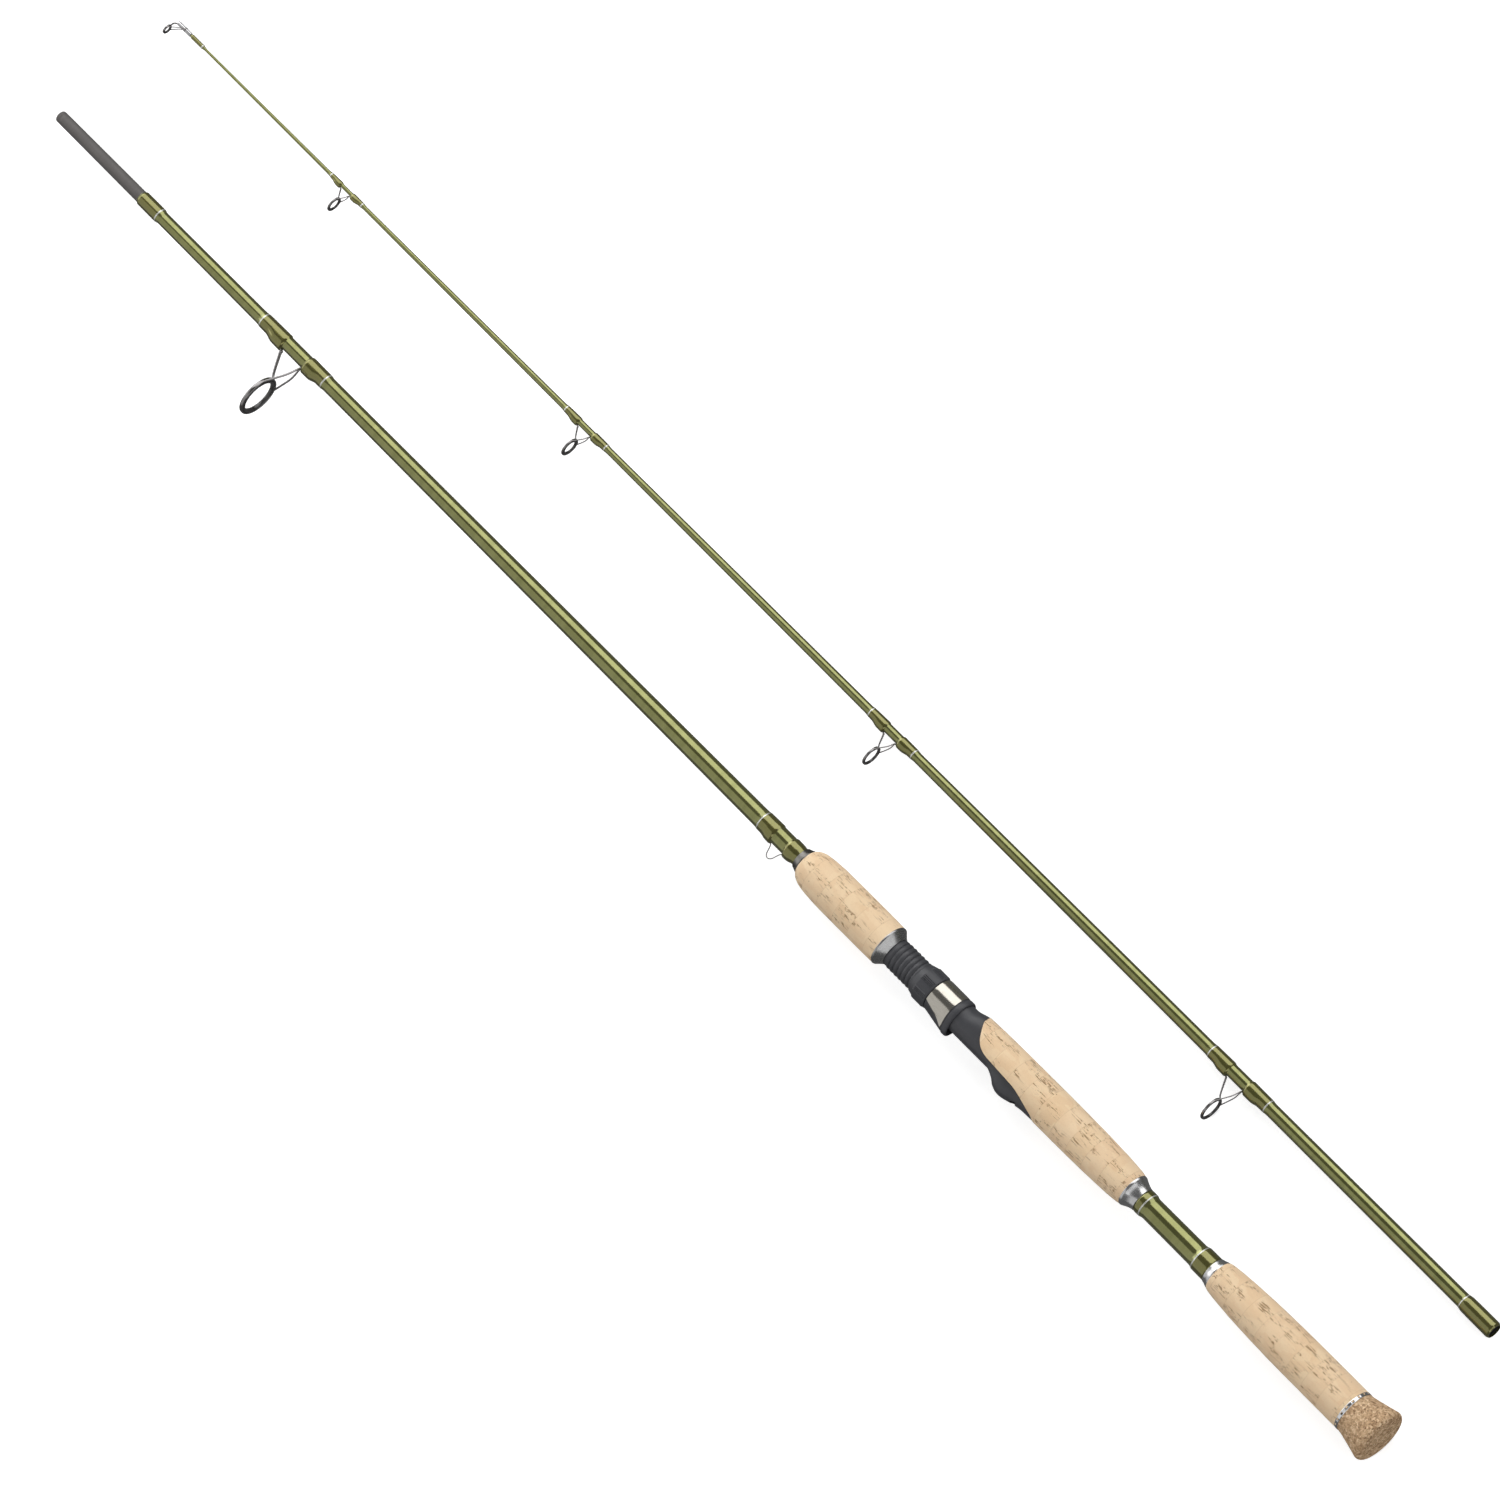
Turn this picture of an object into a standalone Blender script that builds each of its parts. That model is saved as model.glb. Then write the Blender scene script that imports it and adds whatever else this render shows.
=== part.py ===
"""A two-piece spinning rod, seven feet long when joined, lying taken apart on a table.

The butt section and the tip section lie side by side. +X runs towards the tips, +Y is the side
that the guides and the reel stand on, and +Z is up. The origin is at the middle of the object's
box, on the table. Stations along a section are in millimetres from its lower end: the butt cap's
end face on the butt section, and the ferrule's mouth on the tip section.
"""
import math

import bmesh
import bpy
from mathutils import Vector

MM = 0.001
TURN = 2 * math.pi

# Layout of the two sections, in metres
BUTT_LENGTH = 1.1018          # cap end face to the end of the male ferrule
TIP_MOUTH_AHEAD = 0.0012       # the tip section's mouth lies this far ahead of the cap's end face
SECTION_SPACING = 0.0840      # between the axes of the two sections
CAP_RADIUS = 0.0170           # the butt section rests on its cap
FERRULE_WRAP_RADIUS = 0.00530  # widest round part of the tip section
MOUTH_LIP = 0.0006            # the ferrule wrap stands this far past the mouth

# Clearances and mesh sizes
GAP = 0.15                    # mm, between glued or wound pieces
SLIDE_GAP = 0.35              # mm, between pieces that move on each other
NUT_GAP = 0.45                # mm, between the barrel's mean radius and the nut's
SIDES = 20
SEAT_SIDES = 24               # the seat's flat bed spans one side each way from its middle
FEW_SIDES = 16

# Butt section, mm
BLANK_BUTT_RADIUS = 7.60      # of the butt blank, extrapolated to the cap's end face
BLANK_TAPER = 0.00363         # loss of radius per mm
BLANK_WALL = 0.9
BLANK_START = 12.0
MALE_START = 1030.5           # where the sanded male ferrule begins
MALE_RADII = (3.85, 3.70)
MALE_BORE = 2.9
BUTT_WRAP_START = 1012.6

# Reel seat, mm
SEAT_START, SEAT_END = 262.0, 399.0
SEAT_RADIUS = 9.5
SEAT_BORE = 7.3
BED_HEIGHT = 9.1              # of the flat that a reel's foot rests on, above the rod's axis
BED_START = 308.5
BARREL_START = 351.0          # the bed and the seat's smooth part end here
THREAD_START, THREAD_END = 353.0, 393.0
THREAD_PITCH = 3.1
THREAD_MEAN_RADIUS = 8.90
THREAD_DEPTH = 0.40           # each side of the mean radius
THREAD_STEPS = 4              # stations per pitch
NUT_START, NUT_END = 359.2, 372.6
HOOD_START, HOOD_END = 338.8, 359.0
HOOD_RADIUS = 10.75
HOOD_REACH = 13.4             # of the moving hood's rim on the reel's side
POCKET_HALF_WIDTH = 5.5
FIXED_HOOD_REACH = 15.4

# Tip section, mm
TIP_BLANK_OUTLINE = ((0.0, 4.60), (283.0, 3.72), (575.0, 2.55), (814.0, 1.68), (1092.0, 0.72))
SOCKET_DEPTH = 72.0
SOCKET_RADII = (4.02, 3.86)
TIP_BORE_END = 720.0
PLUG_STATION = 90.0

# Guides: section, ring station, ring offset, ring radius, hole radius, front root, rear root,
# front wrap's far end, rear wrap's far end, bar radius
GUIDES = {
    "stripper_guide": ("butt", 895.0, 32.4, 13.05, 9.75, 904.0, 888.0, 924.4, 868.6, 0.80),
    "guide_4": ("tip", 202.9, 22.7, 7.60, 5.95, 209.6, 197.2, 225.6, 179.3, 0.50),
    "guide_3": ("tip", 487.1, 17.1, 6.45, 4.80, 491.2, 481.9, 505.0, 468.8, 0.46),
    "guide_2": ("tip", 743.0, 13.9, 6.00, 3.75, 748.3, 738.6, 760.5, 726.3, 0.42),
    "guide_1": ("tip", 947.4, 10.6, 4.86, 3.05, 951.2, 944.2, 961.0, 933.2, 0.38),
}

# Tip-top, mm
TOP_TUBE_START, TOP_TUBE_END = 1082.5, 1093.6
TOP_RING_STATION, TOP_RING_OFFSET, TOP_RING_RADIUS, TOP_HOLE_RADIUS = 1095.6, 7.0, 3.15, 1.9
TOP_WRAP_START = 1071.0

FINISHES = {
    "blank": ((0.19, 0.20, 0.07), 0.6, 0.30),
    "wrap": ((0.22, 0.21, 0.05), 0.3, 0.12),
    "bare_carbon": ((0.09, 0.085, 0.085), 0.0, 0.65),
    "cork": ((0.78, 0.60, 0.38), 0.0, 0.85),
    "burl": ((0.33, 0.22, 0.12), 0.0, 0.80),
    "silver": ((0.75, 0.75, 0.76), 1.0, 0.15),
    "gunmetal": ((0.22, 0.22, 0.23), 1.0, 0.30),
    "seat": ((0.06, 0.06, 0.07), 0.0, 0.45),
    "ceramic": ((0.05, 0.05, 0.05), 0.0, 0.15),
    "foam": ((0.55, 0.55, 0.52), 0.0, 0.90),
}


def clear_scene():
    for thing in list(bpy.data.objects):
        bpy.data.objects.remove(thing, do_unlink=True)


def material(finish):
    """A new material with the finish's colour, metallic value and roughness."""
    colour, metallic, roughness = FINISHES[finish]
    made = bpy.data.materials.new(finish)
    made.use_nodes = True
    shader = made.node_tree.nodes["Principled BSDF"]
    shader.inputs["Base Color"].default_value = (*colour, 1.0)
    shader.inputs["Metallic"].default_value = metallic
    shader.inputs["Roughness"].default_value = roughness
    return made


def empty(name, location):
    made = bpy.data.objects.new(name, None)
    made.location = location
    bpy.context.scene.collection.objects.link(made)
    return made


def add_body(name, bm, parent, finish):
    """Turns a bmesh built in millimetres about its section's axis into an object in metres."""
    bmesh.ops.scale(bm, vec=(MM, MM, MM), verts=bm.verts)
    bmesh.ops.remove_doubles(bm, verts=bm.verts, dist=1e-7)
    bmesh.ops.recalc_face_normals(bm, faces=bm.faces)
    mesh = bpy.data.meshes.new(name)
    bm.to_mesh(mesh)
    bm.free()
    mesh.shade_smooth()
    mesh.set_sharp_from_angle(angle=math.radians(35))
    body = bpy.data.objects.new(name, mesh)
    body.parent = parent
    body.data.materials.append(material(finish))
    bpy.context.scene.collection.objects.link(body)
    return body


def turned(outline, hollow=True, sides=SIDES, offset=0.0):
    """A body of revolution about X from (station, radius) points, moved by offset along +Y.

    A hollow outline is a closed loop. A solid one starts and ends on the axis.
    """
    bm = bmesh.new()
    points = [bm.verts.new((x, 0.0, r)) for x, r in outline]
    pairs = list(zip(points, points[1:]))
    if hollow:
        pairs.append((points[-1], points[0]))
    edges = [bm.edges.new(pair) for pair in pairs]
    bmesh.ops.spin(bm, geom=points + edges, cent=(0, 0, 0), axis=(1, 0, 0), angle=TURN,
                   steps=sides, use_merge=True)
    bmesh.ops.remove_doubles(bm, verts=bm.verts, dist=1e-5)
    bmesh.ops.translate(bm, vec=(0, offset, 0), verts=bm.verts)
    return bm


def lofted(rings, sides=SIDES):
    """A closed tube through rings, each a (station, radius) pair, the last joined to the first.

    A station or a radius may be a function of the angle from +Y about X.
    """
    bm = bmesh.new()
    loops = []
    for station, radius in rings:
        loop = []
        for step in range(sides):
            angle = TURN * step / sides
            x = station(angle) if callable(station) else station
            r = radius(angle) if callable(radius) else radius
            loop.append(bm.verts.new((x, r * math.cos(angle), r * math.sin(angle))))
        loops.append(loop)
    for near, far in zip(loops, loops[1:] + loops[:1]):
        for step in range(sides):
            after = (step + 1) % sides
            bm.faces.new((near[step], near[after], far[after]))
            bm.faces.new((near[step], far[after], far[step]))
    return bm


def swept(points, widths, heights, sides=6):
    """A bar with elliptic sections along points. Widths are across the path towards Z."""
    bm = bmesh.new()
    path = [Vector(p) for p in points]
    loops = []
    for index, centre in enumerate(path):
        before, after = path[max(index - 1, 0)], path[min(index + 1, len(path) - 1)]
        along = (after - before).normalized()
        across = Vector((0, 0, 1))
        across = (across - along * across.dot(along)).normalized()
        up = along.cross(across)
        loops.append([
            bm.verts.new(centre + across * widths[index] * math.cos(TURN * s / sides)
                         + up * heights[index] * math.sin(TURN * s / sides))
            for s in range(sides)
        ])
    for near, far in zip(loops, loops[1:]):
        for step in range(sides):
            after = (step + 1) % sides
            bm.faces.new((near[step], near[after], far[after], far[step]))
    bm.faces.new(list(reversed(loops[0])))
    bm.faces.new(loops[-1])
    return bm


def boolean(body, tool, operation):
    """Adds tool to body or cuts it away. The tool itself is construction, not a piece."""
    tool.hide_render = True
    tool.display_type = "WIRE"
    step = body.modifiers.new(tool.name, "BOOLEAN")
    step.operation = operation
    step.solver = "EXACT"
    step.object = tool


def ease(value, low, high):
    """0 below low, 1 above high, and a smooth rise between."""
    t = min(max((value - low) / (high - low), 0.0), 1.0)
    return t * t * (3 - 2 * t)


def from_guide_side(angle):
    """Degrees between an angle about the rod and the side the guides stand on, 0 to 180."""
    return abs(math.degrees((angle + math.pi) % TURN - math.pi))


def interpolate(outline, station):
    for (x0, r0), (x1, r1) in zip(outline, outline[1:]):
        if station <= x1:
            return r0 + (r1 - r0) * (station - x0) / (x1 - x0)
    return outline[-1][1]


def butt_radius(station):
    return BLANK_BUTT_RADIUS - BLANK_TAPER * station


def tip_radius(station):
    return interpolate(TIP_BLANK_OUTLINE, station)


def sleeve(outer, bore):
    """The closed outline of a sleeve from its outer points, low to high, and its bore radii."""
    low, high = outer[0][0], outer[-1][0]
    return list(outer) + [(high, bore[1]), (low, bore[0])]


# Blanks and ferrules

def build_butt_blank(axis):
    wall = BLANK_WALL
    outer = [
        (BLANK_START, butt_radius(BLANK_START)),
        (MALE_START, butt_radius(MALE_START)),
        (MALE_START + 0.4, MALE_RADII[0]),
        (BUTT_LENGTH / MM - 3.0, MALE_RADII[1]),
    ]
    high = outer[-1][0]
    bore = [(high, MALE_BORE), (MALE_START, MALE_BORE), (BLANK_START, butt_radius(BLANK_START) - wall)]
    add_body("butt_blank", turned(outer + bore), axis, "blank")


def build_male_ferrule_plug(axis):
    """Closes the male ferrule with a rounded end. Its stem is glued inside."""
    end = BUTT_LENGTH / MM
    face = end - 3.0 + GAP
    stem = MALE_BORE - GAP
    rounding = [
        (end - 1.6 + 1.6 * math.sin(a), 2.1 + 1.6 * math.cos(a))
        for a in (0, math.pi / 6, math.pi / 3, math.pi / 2)
    ]
    outline = [(face - 8.0, 0.0), (face - 8.0, stem), (face, stem), (face, MALE_RADII[1])]
    add_body("male_ferrule_plug", turned(outline + rounding + [(end, 0.0)], hollow=False), axis,
             "bare_carbon")


def build_tip_blank(axis):
    mouth, deep = SOCKET_RADII
    outer = list(TIP_BLANK_OUTLINE)
    bore = [
        (TIP_BORE_END, 1.15),
        (575.0, tip_radius(575.0) - BLANK_WALL),
        (SOCKET_DEPTH + 4.0, 3.3),
        (SOCKET_DEPTH, deep),
        (0.0, mouth),
    ]
    # the bore ends blind, so the outline runs along the axis from the tip back to the bore's end
    outline = [(TIP_BORE_END, 0.0)] + bore + outer + [(outer[-1][0], 0.0)]
    add_body("tip_blank", turned(outline, hollow=False), axis, "blank")


def build_plain_wrap(name, axis, start, end, radius_at, thickness, sides=FEW_SIDES):
    """A thread wrap under epoxy with rounded ends, the same all the way round."""
    edge = 0.7
    outer = [
        (start, radius_at(start) + GAP + 0.12),
        (start + edge, radius_at(start) + thickness),
        (end - edge, radius_at(end) + thickness),
        (end, radius_at(end) + GAP + 0.12),
    ]
    bore = (radius_at(start) + GAP, radius_at(end) + GAP)
    add_body(name, turned(sleeve(outer, bore), sides=sides), axis, "wrap")


def build_ferrule_pieces(butt_axis, tip_axis, tip_band_axis):
    build_plain_wrap("butt_ferrule_wrap", butt_axis, BUTT_WRAP_START, MALE_START - 0.3, butt_radius,
                     0.62)
    band_start = 22.6
    wide = FERRULE_WRAP_RADIUS / MM
    lip = -MOUTH_LIP / MM
    bore = tip_radius(0) + GAP
    # the wrap's epoxy turns in over the blank's end, clear of it by a gap
    outline = [(lip, 4.35), (0.2, wide - 0.2), (1.4, wide), (band_start - 2.4, wide),
               (band_start - 0.4, wide - 0.35), (band_start - 0.4, tip_radius(band_start) + GAP),
               (-GAP, bore), (-GAP, 4.15), (lip, 4.15)]
    add_body("tip_ferrule_wrap", turned(outline), tip_axis, "wrap")
    trim = [(band_start, tip_radius(band_start) + 0.45), (band_start + 1.2, tip_radius(band_start) + 0.45)]
    bore = (tip_radius(band_start) + GAP, tip_radius(band_start + 1.2) + GAP)
    add_body("tip_ferrule_trim", turned(sleeve(trim, bore)), tip_band_axis, "silver")
    plug = [(PLUG_STATION, 0.0), (PLUG_STATION, 0.9), (PLUG_STATION + 4.0, 0.9), (PLUG_STATION + 4.0, 0.0)]
    add_body("bore_plug", turned(plug, hollow=False, sides=8), tip_band_axis, "foam")


# Guides

def guide_parts(name):
    keys = ("section", "station", "offset", "ring", "hole", "front", "rear", "front_end", "rear_end",
            "bar")
    return dict(zip(keys, GUIDES[name]))


def foot_thickness(guide):
    return 1.35 * guide["bar"]


def build_guide_frame(name, guide, axis, radius_at):
    """Hoop, front strut with its foot, two rear legs and their foot, as one bent metal frame."""
    x, offset, ring, bar = guide["station"], guide["offset"], guide["ring"], guide["bar"]
    insert = guide["hole"] + 0.60 * (ring - guide["hole"])
    half = 1.45 * bar
    hoop = [(x - half, ring - 0.3 * bar), (x, ring), (x + half, ring - 0.3 * bar), (x + half, insert),
            (x - half, insert)]
    frame = add_body(name + "_frame", turned(hoop, sides=SIDES, offset=offset), axis, "gunmetal")
    thick = foot_thickness(guide)
    middle = (insert + ring) / 2

    def on_foot(station):
        return radius_at(station) + GAP + thick / 2

    front, rear = guide["front"], guide["rear"]
    front_foot = front + 0.62 * (guide["front_end"] - front)
    rear_foot = rear - 0.62 * (rear - guide["rear_end"])
    top = offset - middle
    strut = [(front_foot, on_foot(front_foot) - thick * 0.2, 0), (front + 1.0, on_foot(front + 1.0), 0),
             (front, on_foot(front) + thick * 0.3, 0), (x + 0.30 * (front - x), top - 0.15 * (top - 5), 0),
             (x, top, 0)]
    wide = [1.6 * bar, 2.0 * bar, 1.7 * bar, 1.0 * bar, 1.1 * bar]
    high = [0.3 * thick, 0.5 * thick, 0.7 * thick, 0.95 * bar, 0.95 * bar]
    parts = [("front_strut", strut, wide, high)]
    foot = [(rear_foot, on_foot(rear_foot) - thick * 0.2, 0), (rear - 1.0, on_foot(rear - 1.0), 0),
            (rear + 1.2 * bar, on_foot(rear + 1.2 * bar), 0)]
    parts.append(("rear_foot", foot, [1.6 * bar, 2.1 * bar, 1.5 * bar], [0.3 * thick, 0.5 * thick, 0.4 * thick]))
    for side, label in ((1, "left_leg"), (-1, "right_leg")):
        spread = math.radians(50)
        end = (x, offset - middle * math.cos(spread), side * middle * math.sin(spread))
        start = (rear + 0.3 * bar, on_foot(rear), side * 0.8 * bar)
        leg = [start]
        for share in (0.35, 0.7):
            leg.append((rear + (x - rear) * share ** 1.3, start[1] + (end[1] - start[1]) * share,
                        side * (0.8 * bar + (middle * math.sin(spread) - 0.8 * bar) * share ** 0.8)))
        leg.append(end)
        parts.append((label, leg, [0.75 * bar] * 4, [0.75 * bar] * 4))
    for label, path, widths, heights in parts:
        piece = add_body(f"{name}_{label}", swept(path, widths, heights), axis, "gunmetal")
        boolean(frame, piece, "UNION")


def build_guide_ring(name, guide, axis):
    """The ceramic insert, rounded on the inside where line runs."""
    x, hole, half = guide["station"], guide["hole"], 1.60 * guide["bar"]
    outer = hole + 0.60 * (guide["ring"] - hole) - GAP
    edge = hole + 0.25 * (outer - hole)
    outline = [(x - half, outer), (x + half, outer), (x + 0.75 * half, edge), (x, hole),
               (x - 0.75 * half, edge)]
    add_body(name + "_ring", turned(outline, sides=SIDES, offset=guide["offset"]), axis, "ceramic")


def build_foot_wrap(name, guide, axis, near, far, radius_at, sides):
    """A thread wrap over a guide's foot: far is its outer end, near its end at the ring."""
    thick = foot_thickness(guide)
    wall = 0.38
    way = 1 if far > near else -1
    foot_end = near + 0.62 * (far - near)
    tall = thick + 2 * GAP

    def channel(lift):
        return lambda angle: lift * (1 - ease(from_guide_side(angle), 40, 68))

    def crown(lift):
        return lambda angle: lift * (1 - ease(from_guide_side(angle), 40, 115))

    def ring(station, rise, shape):
        base = radius_at(station)
        return (station, lambda angle: base + rise + shape(angle))

    flat = channel(0.0)
    outside = [
        ring(far, GAP + 0.10, flat),
        ring(far - way * 0.6, GAP + wall, flat),
        ring(foot_end + way * 2.0, GAP + wall, flat),
        ring(foot_end - way * 1.0, GAP + wall, crown(0.80 * tall)),
        ring(near + way * 0.5, GAP + wall, crown(tall)),
        ring(near, GAP + 0.6 * wall, crown(tall)),
    ]
    inside = [
        ring(near, GAP, channel(tall)),
        ring(foot_end - way * 0.3, GAP, channel(0.80 * tall)),
        ring(foot_end + way * 0.7, GAP, channel(0.55 * tall)),
        ring(foot_end + way * 1.0, GAP, flat),
        ring(far, GAP, flat),
    ]
    add_body(name, lofted(outside + inside, sides), axis, "wrap")


def build_guide(name, axis, radius_at):
    guide = guide_parts(name)
    sides = FEW_SIDES if guide["section"] == "tip" else SIDES
    build_guide_frame(name, guide, axis, radius_at)
    build_guide_ring(name, guide, axis)
    build_foot_wrap(name + "_front_wrap", guide, axis, guide["front"] + 0.6, guide["front_end"],
                    radius_at, sides)
    build_foot_wrap(name + "_rear_wrap", guide, axis, guide["rear"] - 0.6, guide["rear_end"], radius_at,
                    sides)


def build_tip_top(axis):
    """A tube glued on the tip, with a ring hung below its end and two brace wires."""
    tip = tip_radius(TOP_TUBE_START)
    bore, outer = tip + GAP, tip + GAP + 0.35
    end = TOP_TUBE_END
    tube = [(end - 1.0, 0.0), (end - 1.0, bore), (TOP_TUBE_START, bore), (TOP_TUBE_START, outer),
            (end - 0.5, outer - 0.1), (end, outer - 0.5), (end, 0.0)]
    bm = turned(tube, hollow=False, sides=FEW_SIDES)
    frame = add_body("tip_top_frame", bm, axis, "gunmetal")
    x, offset, ring, hole = TOP_RING_STATION, TOP_RING_OFFSET, TOP_RING_RADIUS, TOP_HOLE_RADIUS
    insert = hole + 0.6 * (ring - hole)
    hoop = [(x - 0.55, ring - 0.1), (x, ring), (x + 0.55, ring - 0.1), (x + 0.55, insert), (x - 0.55, insert)]
    boolean(frame, add_body("tip_top_hoop", turned(hoop, sides=20, offset=offset), axis, "gunmetal"), "UNION")
    middle = (ring + insert) / 2
    neck = [(end - 0.5, 0.3, 0), (end - 0.1, 1.0, 0), (x - 0.3, 2.4, 0), (x, offset - middle, 0)]
    parts = [("neck", neck, 0.55)]
    for side, label in ((1, "left_brace"), (-1, "right_brace")):
        brace = [(TOP_TUBE_START + 5.2, 0.2, side * (outer + 0.08)), (TOP_TUBE_START + 8.4, 2.2, side * 1.75),
                 (x - 1.6, 5.0, side * 2.5), (x, offset - 0.2, side * middle)]
        parts.append((label, brace, 0.32))
    for label, path, thick in parts:
        piece = add_body("tip_top_" + label, swept(path, [thick] * 4, [thick] * 4), axis, "gunmetal")
        boolean(frame, piece, "UNION")
    outer = insert - GAP
    outline = [(x - 0.5, outer), (x + 0.5, outer), (x + 0.65, (outer + hole) / 2), (x, hole),
               (x - 0.65, (outer + hole) / 2)]
    add_body("tip_top_ring", turned(outline, sides=20, offset=offset), axis, "ceramic")
    build_plain_wrap("tip_top_wrap", axis, TOP_WRAP_START, TOP_TUBE_START - 0.3, tip_radius, 0.5, 12)


# Hook keeper, grips and their trims

def build_hook_keeper(axis):
    """A wire loop for the lure's hook. Its feet lie along the blank under two wraps."""
    wire, front, rear = 0.30, 489.6, 481.4

    def lie(station):
        return butt_radius(station) + GAP + wire

    low = lie(front)
    loop = [(front + 7.0, lie(front + 7.0), 0), (front + 1.0, low, 0), (front - 0.4, low + 1.2, 0),
            (front - 1.6, low + 4.6, 0), (front - 2.8, low + 6.3, 0), ((front + rear) / 2, low + 6.8, 0),
            (rear + 2.8, low + 6.3, 0), (rear + 1.6, low + 4.6, 0), (rear + 0.4, low + 1.2, 0),
            (rear - 1.0, lie(rear), 0), (rear - 6.0, lie(rear - 6.0), 0)]
    size = [wire] * len(loop)
    add_body("hook_keeper", swept(loop, size, size), axis, "gunmetal")
    keeper = {"bar": wire * 2 / 1.35}
    build_foot_wrap("hook_keeper_front_wrap", keeper, axis, front + 1.2, 502.0, butt_radius, SIDES)
    build_foot_wrap("hook_keeper_rear_wrap", keeper, axis, rear - 1.2, 472.4, butt_radius, SIDES)


def build_fore_grip(axis):
    check = [(467.3, 7.9), (468.0, 8.0), (470.2, 7.1), (471.1, 6.6)]
    add_body("winding_check", turned(sleeve(check, (butt_radius(467.3) + GAP, butt_radius(471.1) + GAP))),
             axis, "gunmetal")
    outer = [(399.5, 12.85), (412.0, 13.05), (446.0, 12.95), (455.5, 12.4), (460.4, 11.75), (463.0, 11.0),
             (465.4, 9.8), (467.0, 8.4)]
    add_body("fore_grip", turned(sleeve(outer, (butt_radius(399.5) + GAP, butt_radius(467.0) + GAP))),
             axis, "cork")
    # the collar sits on the reel seat's plain front end
    back = 8.75
    outer = [(393.6, 9.05), (397.9, 12.5), (398.7, 12.9), (399.2, 12.7)]
    add_body("fore_grip_collar", turned(sleeve(outer, (back, back))), axis, "gunmetal")


def scallop_edge(angle):
    """Front edge of the rear grip: a round-ended window on the reel's side shows the seat."""
    outline = ((0, 267.6), (24, 269.4), (40, 275.1), (52, 282.0), (58, 287.5), (61, 298.0),
               (63.5, 309.0), (67, 313.2), (76, 317.0), (100, 321.3), (140, 326.0), (180, 327.2))
    return interpolate(outline, from_guide_side(angle))


def build_rear_grip(axis):
    """Cork over the reel seat's tail and the blank behind it."""
    end, step = 199.8, SEAT_START - GAP
    shape = ((199.8, 10.3), (203.0, 10.9), (215.0, 11.7), (238.0, 12.3), (262.0, 12.45), (300.0, 12.3),
             (316.0, 12.05), (328.0, 11.6))

    def outer(share):
        def station(angle):
            return step + (scallop_edge(angle) - step) * share
        return (station, lambda angle: interpolate(shape, station(angle)))

    bore = butt_radius(step) + GAP
    rings = [(x, interpolate(shape, x)) for x in (end, 203.0, 215.0, 238.0, step)]
    rings += [outer(share) for share in (0.25, 0.5, 0.75, 1.0)]
    rings += [(scallop_edge, bore), (step, bore), (end, butt_radius(end) + GAP)]
    grip = add_body("rear_grip", lofted(rings, SEAT_SIDES), axis, "cork")
    hollow = seat_rings(2 * GAP, 335.8)
    hollow[0] = (step, hollow[0][1])
    core = [(335.8, 0.5), (step, 0.5)]
    boolean(grip, add_body("rear_grip_hollow", lofted(hollow + core, SEAT_SIDES), axis, "cork"), "DIFFERENCE")


def build_split_grip(axis):
    """The trims on the bare blank between the two grips, then the butt grip and its cap."""
    cone = [(191.6, 7.65), (193.5, 7.95), (196.0, 8.9), (198.2, 10.1), (199.5, 10.3)]
    add_body("rear_grip_cone", turned(sleeve(cone, (butt_radius(191.6) + GAP, butt_radius(199.5) + GAP))),
             axis, "silver")
    build_plain_wrap("split_front_wrap", axis, 186.2, 191.3, butt_radius, 0.7)
    build_plain_wrap("split_rear_wrap", axis, 134.9, 144.9, butt_radius, 0.75)
    cone = [(130.3, 9.4), (131.3, 9.2), (133.0, 8.5), (134.6, 8.2)]
    add_body("butt_grip_cone", turned(sleeve(cone, (butt_radius(130.3) + GAP, butt_radius(134.6) + GAP))),
             axis, "silver")
    outer = [(23.3, 13.05), (50.0, 13.05), (75.0, 12.9), (95.0, 12.4), (110.0, 11.7), (122.0, 10.8),
             (127.5, 10.2), (130.0, 9.5)]
    add_body("butt_grip", turned(sleeve(outer, (butt_radius(23.3) + GAP, butt_radius(130.0) + GAP))), axis,
             "cork")
    band = [(21.2, 12.9), (21.6, 13.1), (22.6, 13.1), (23.0, 12.9)]
    add_body("butt_ring", turned(sleeve(band, (butt_radius(21.2) + GAP, butt_radius(23.0) + GAP))), axis,
             "silver")
    cap = [(20.9, 0.0), (20.9, 12.9), (17.0, 13.4), (11.0, 14.6), (4.5, 16.6), (2.6, CAP_RADIUS / MM),
           (1.0, 16.3), (0.0, 14.6), (0.0, 0.0)]
    socket = butt_radius(BLANK_START) + GAP
    pocket = [(BLANK_START - GAP, 0.0), (BLANK_START - GAP, socket), (20.9, socket)]
    add_body("butt_cap", turned(pocket + cap[1:], hollow=False), axis, "burl")


# Reel seat, nut and moving hood

def thread_wave(station, angle):
    """Height of the right-hand thread's rounded form at a place on the barrel."""
    return THREAD_DEPTH * math.cos(TURN * (station / THREAD_PITCH - angle / TURN))


def barrel_radius(station, angle):
    fade = ease(station, THREAD_START, THREAD_START + THREAD_PITCH)
    fade *= 1 - ease(station, THREAD_END - THREAD_PITCH, THREAD_END)
    return THREAD_MEAN_RADIUS + fade * thread_wave(station, angle)


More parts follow.
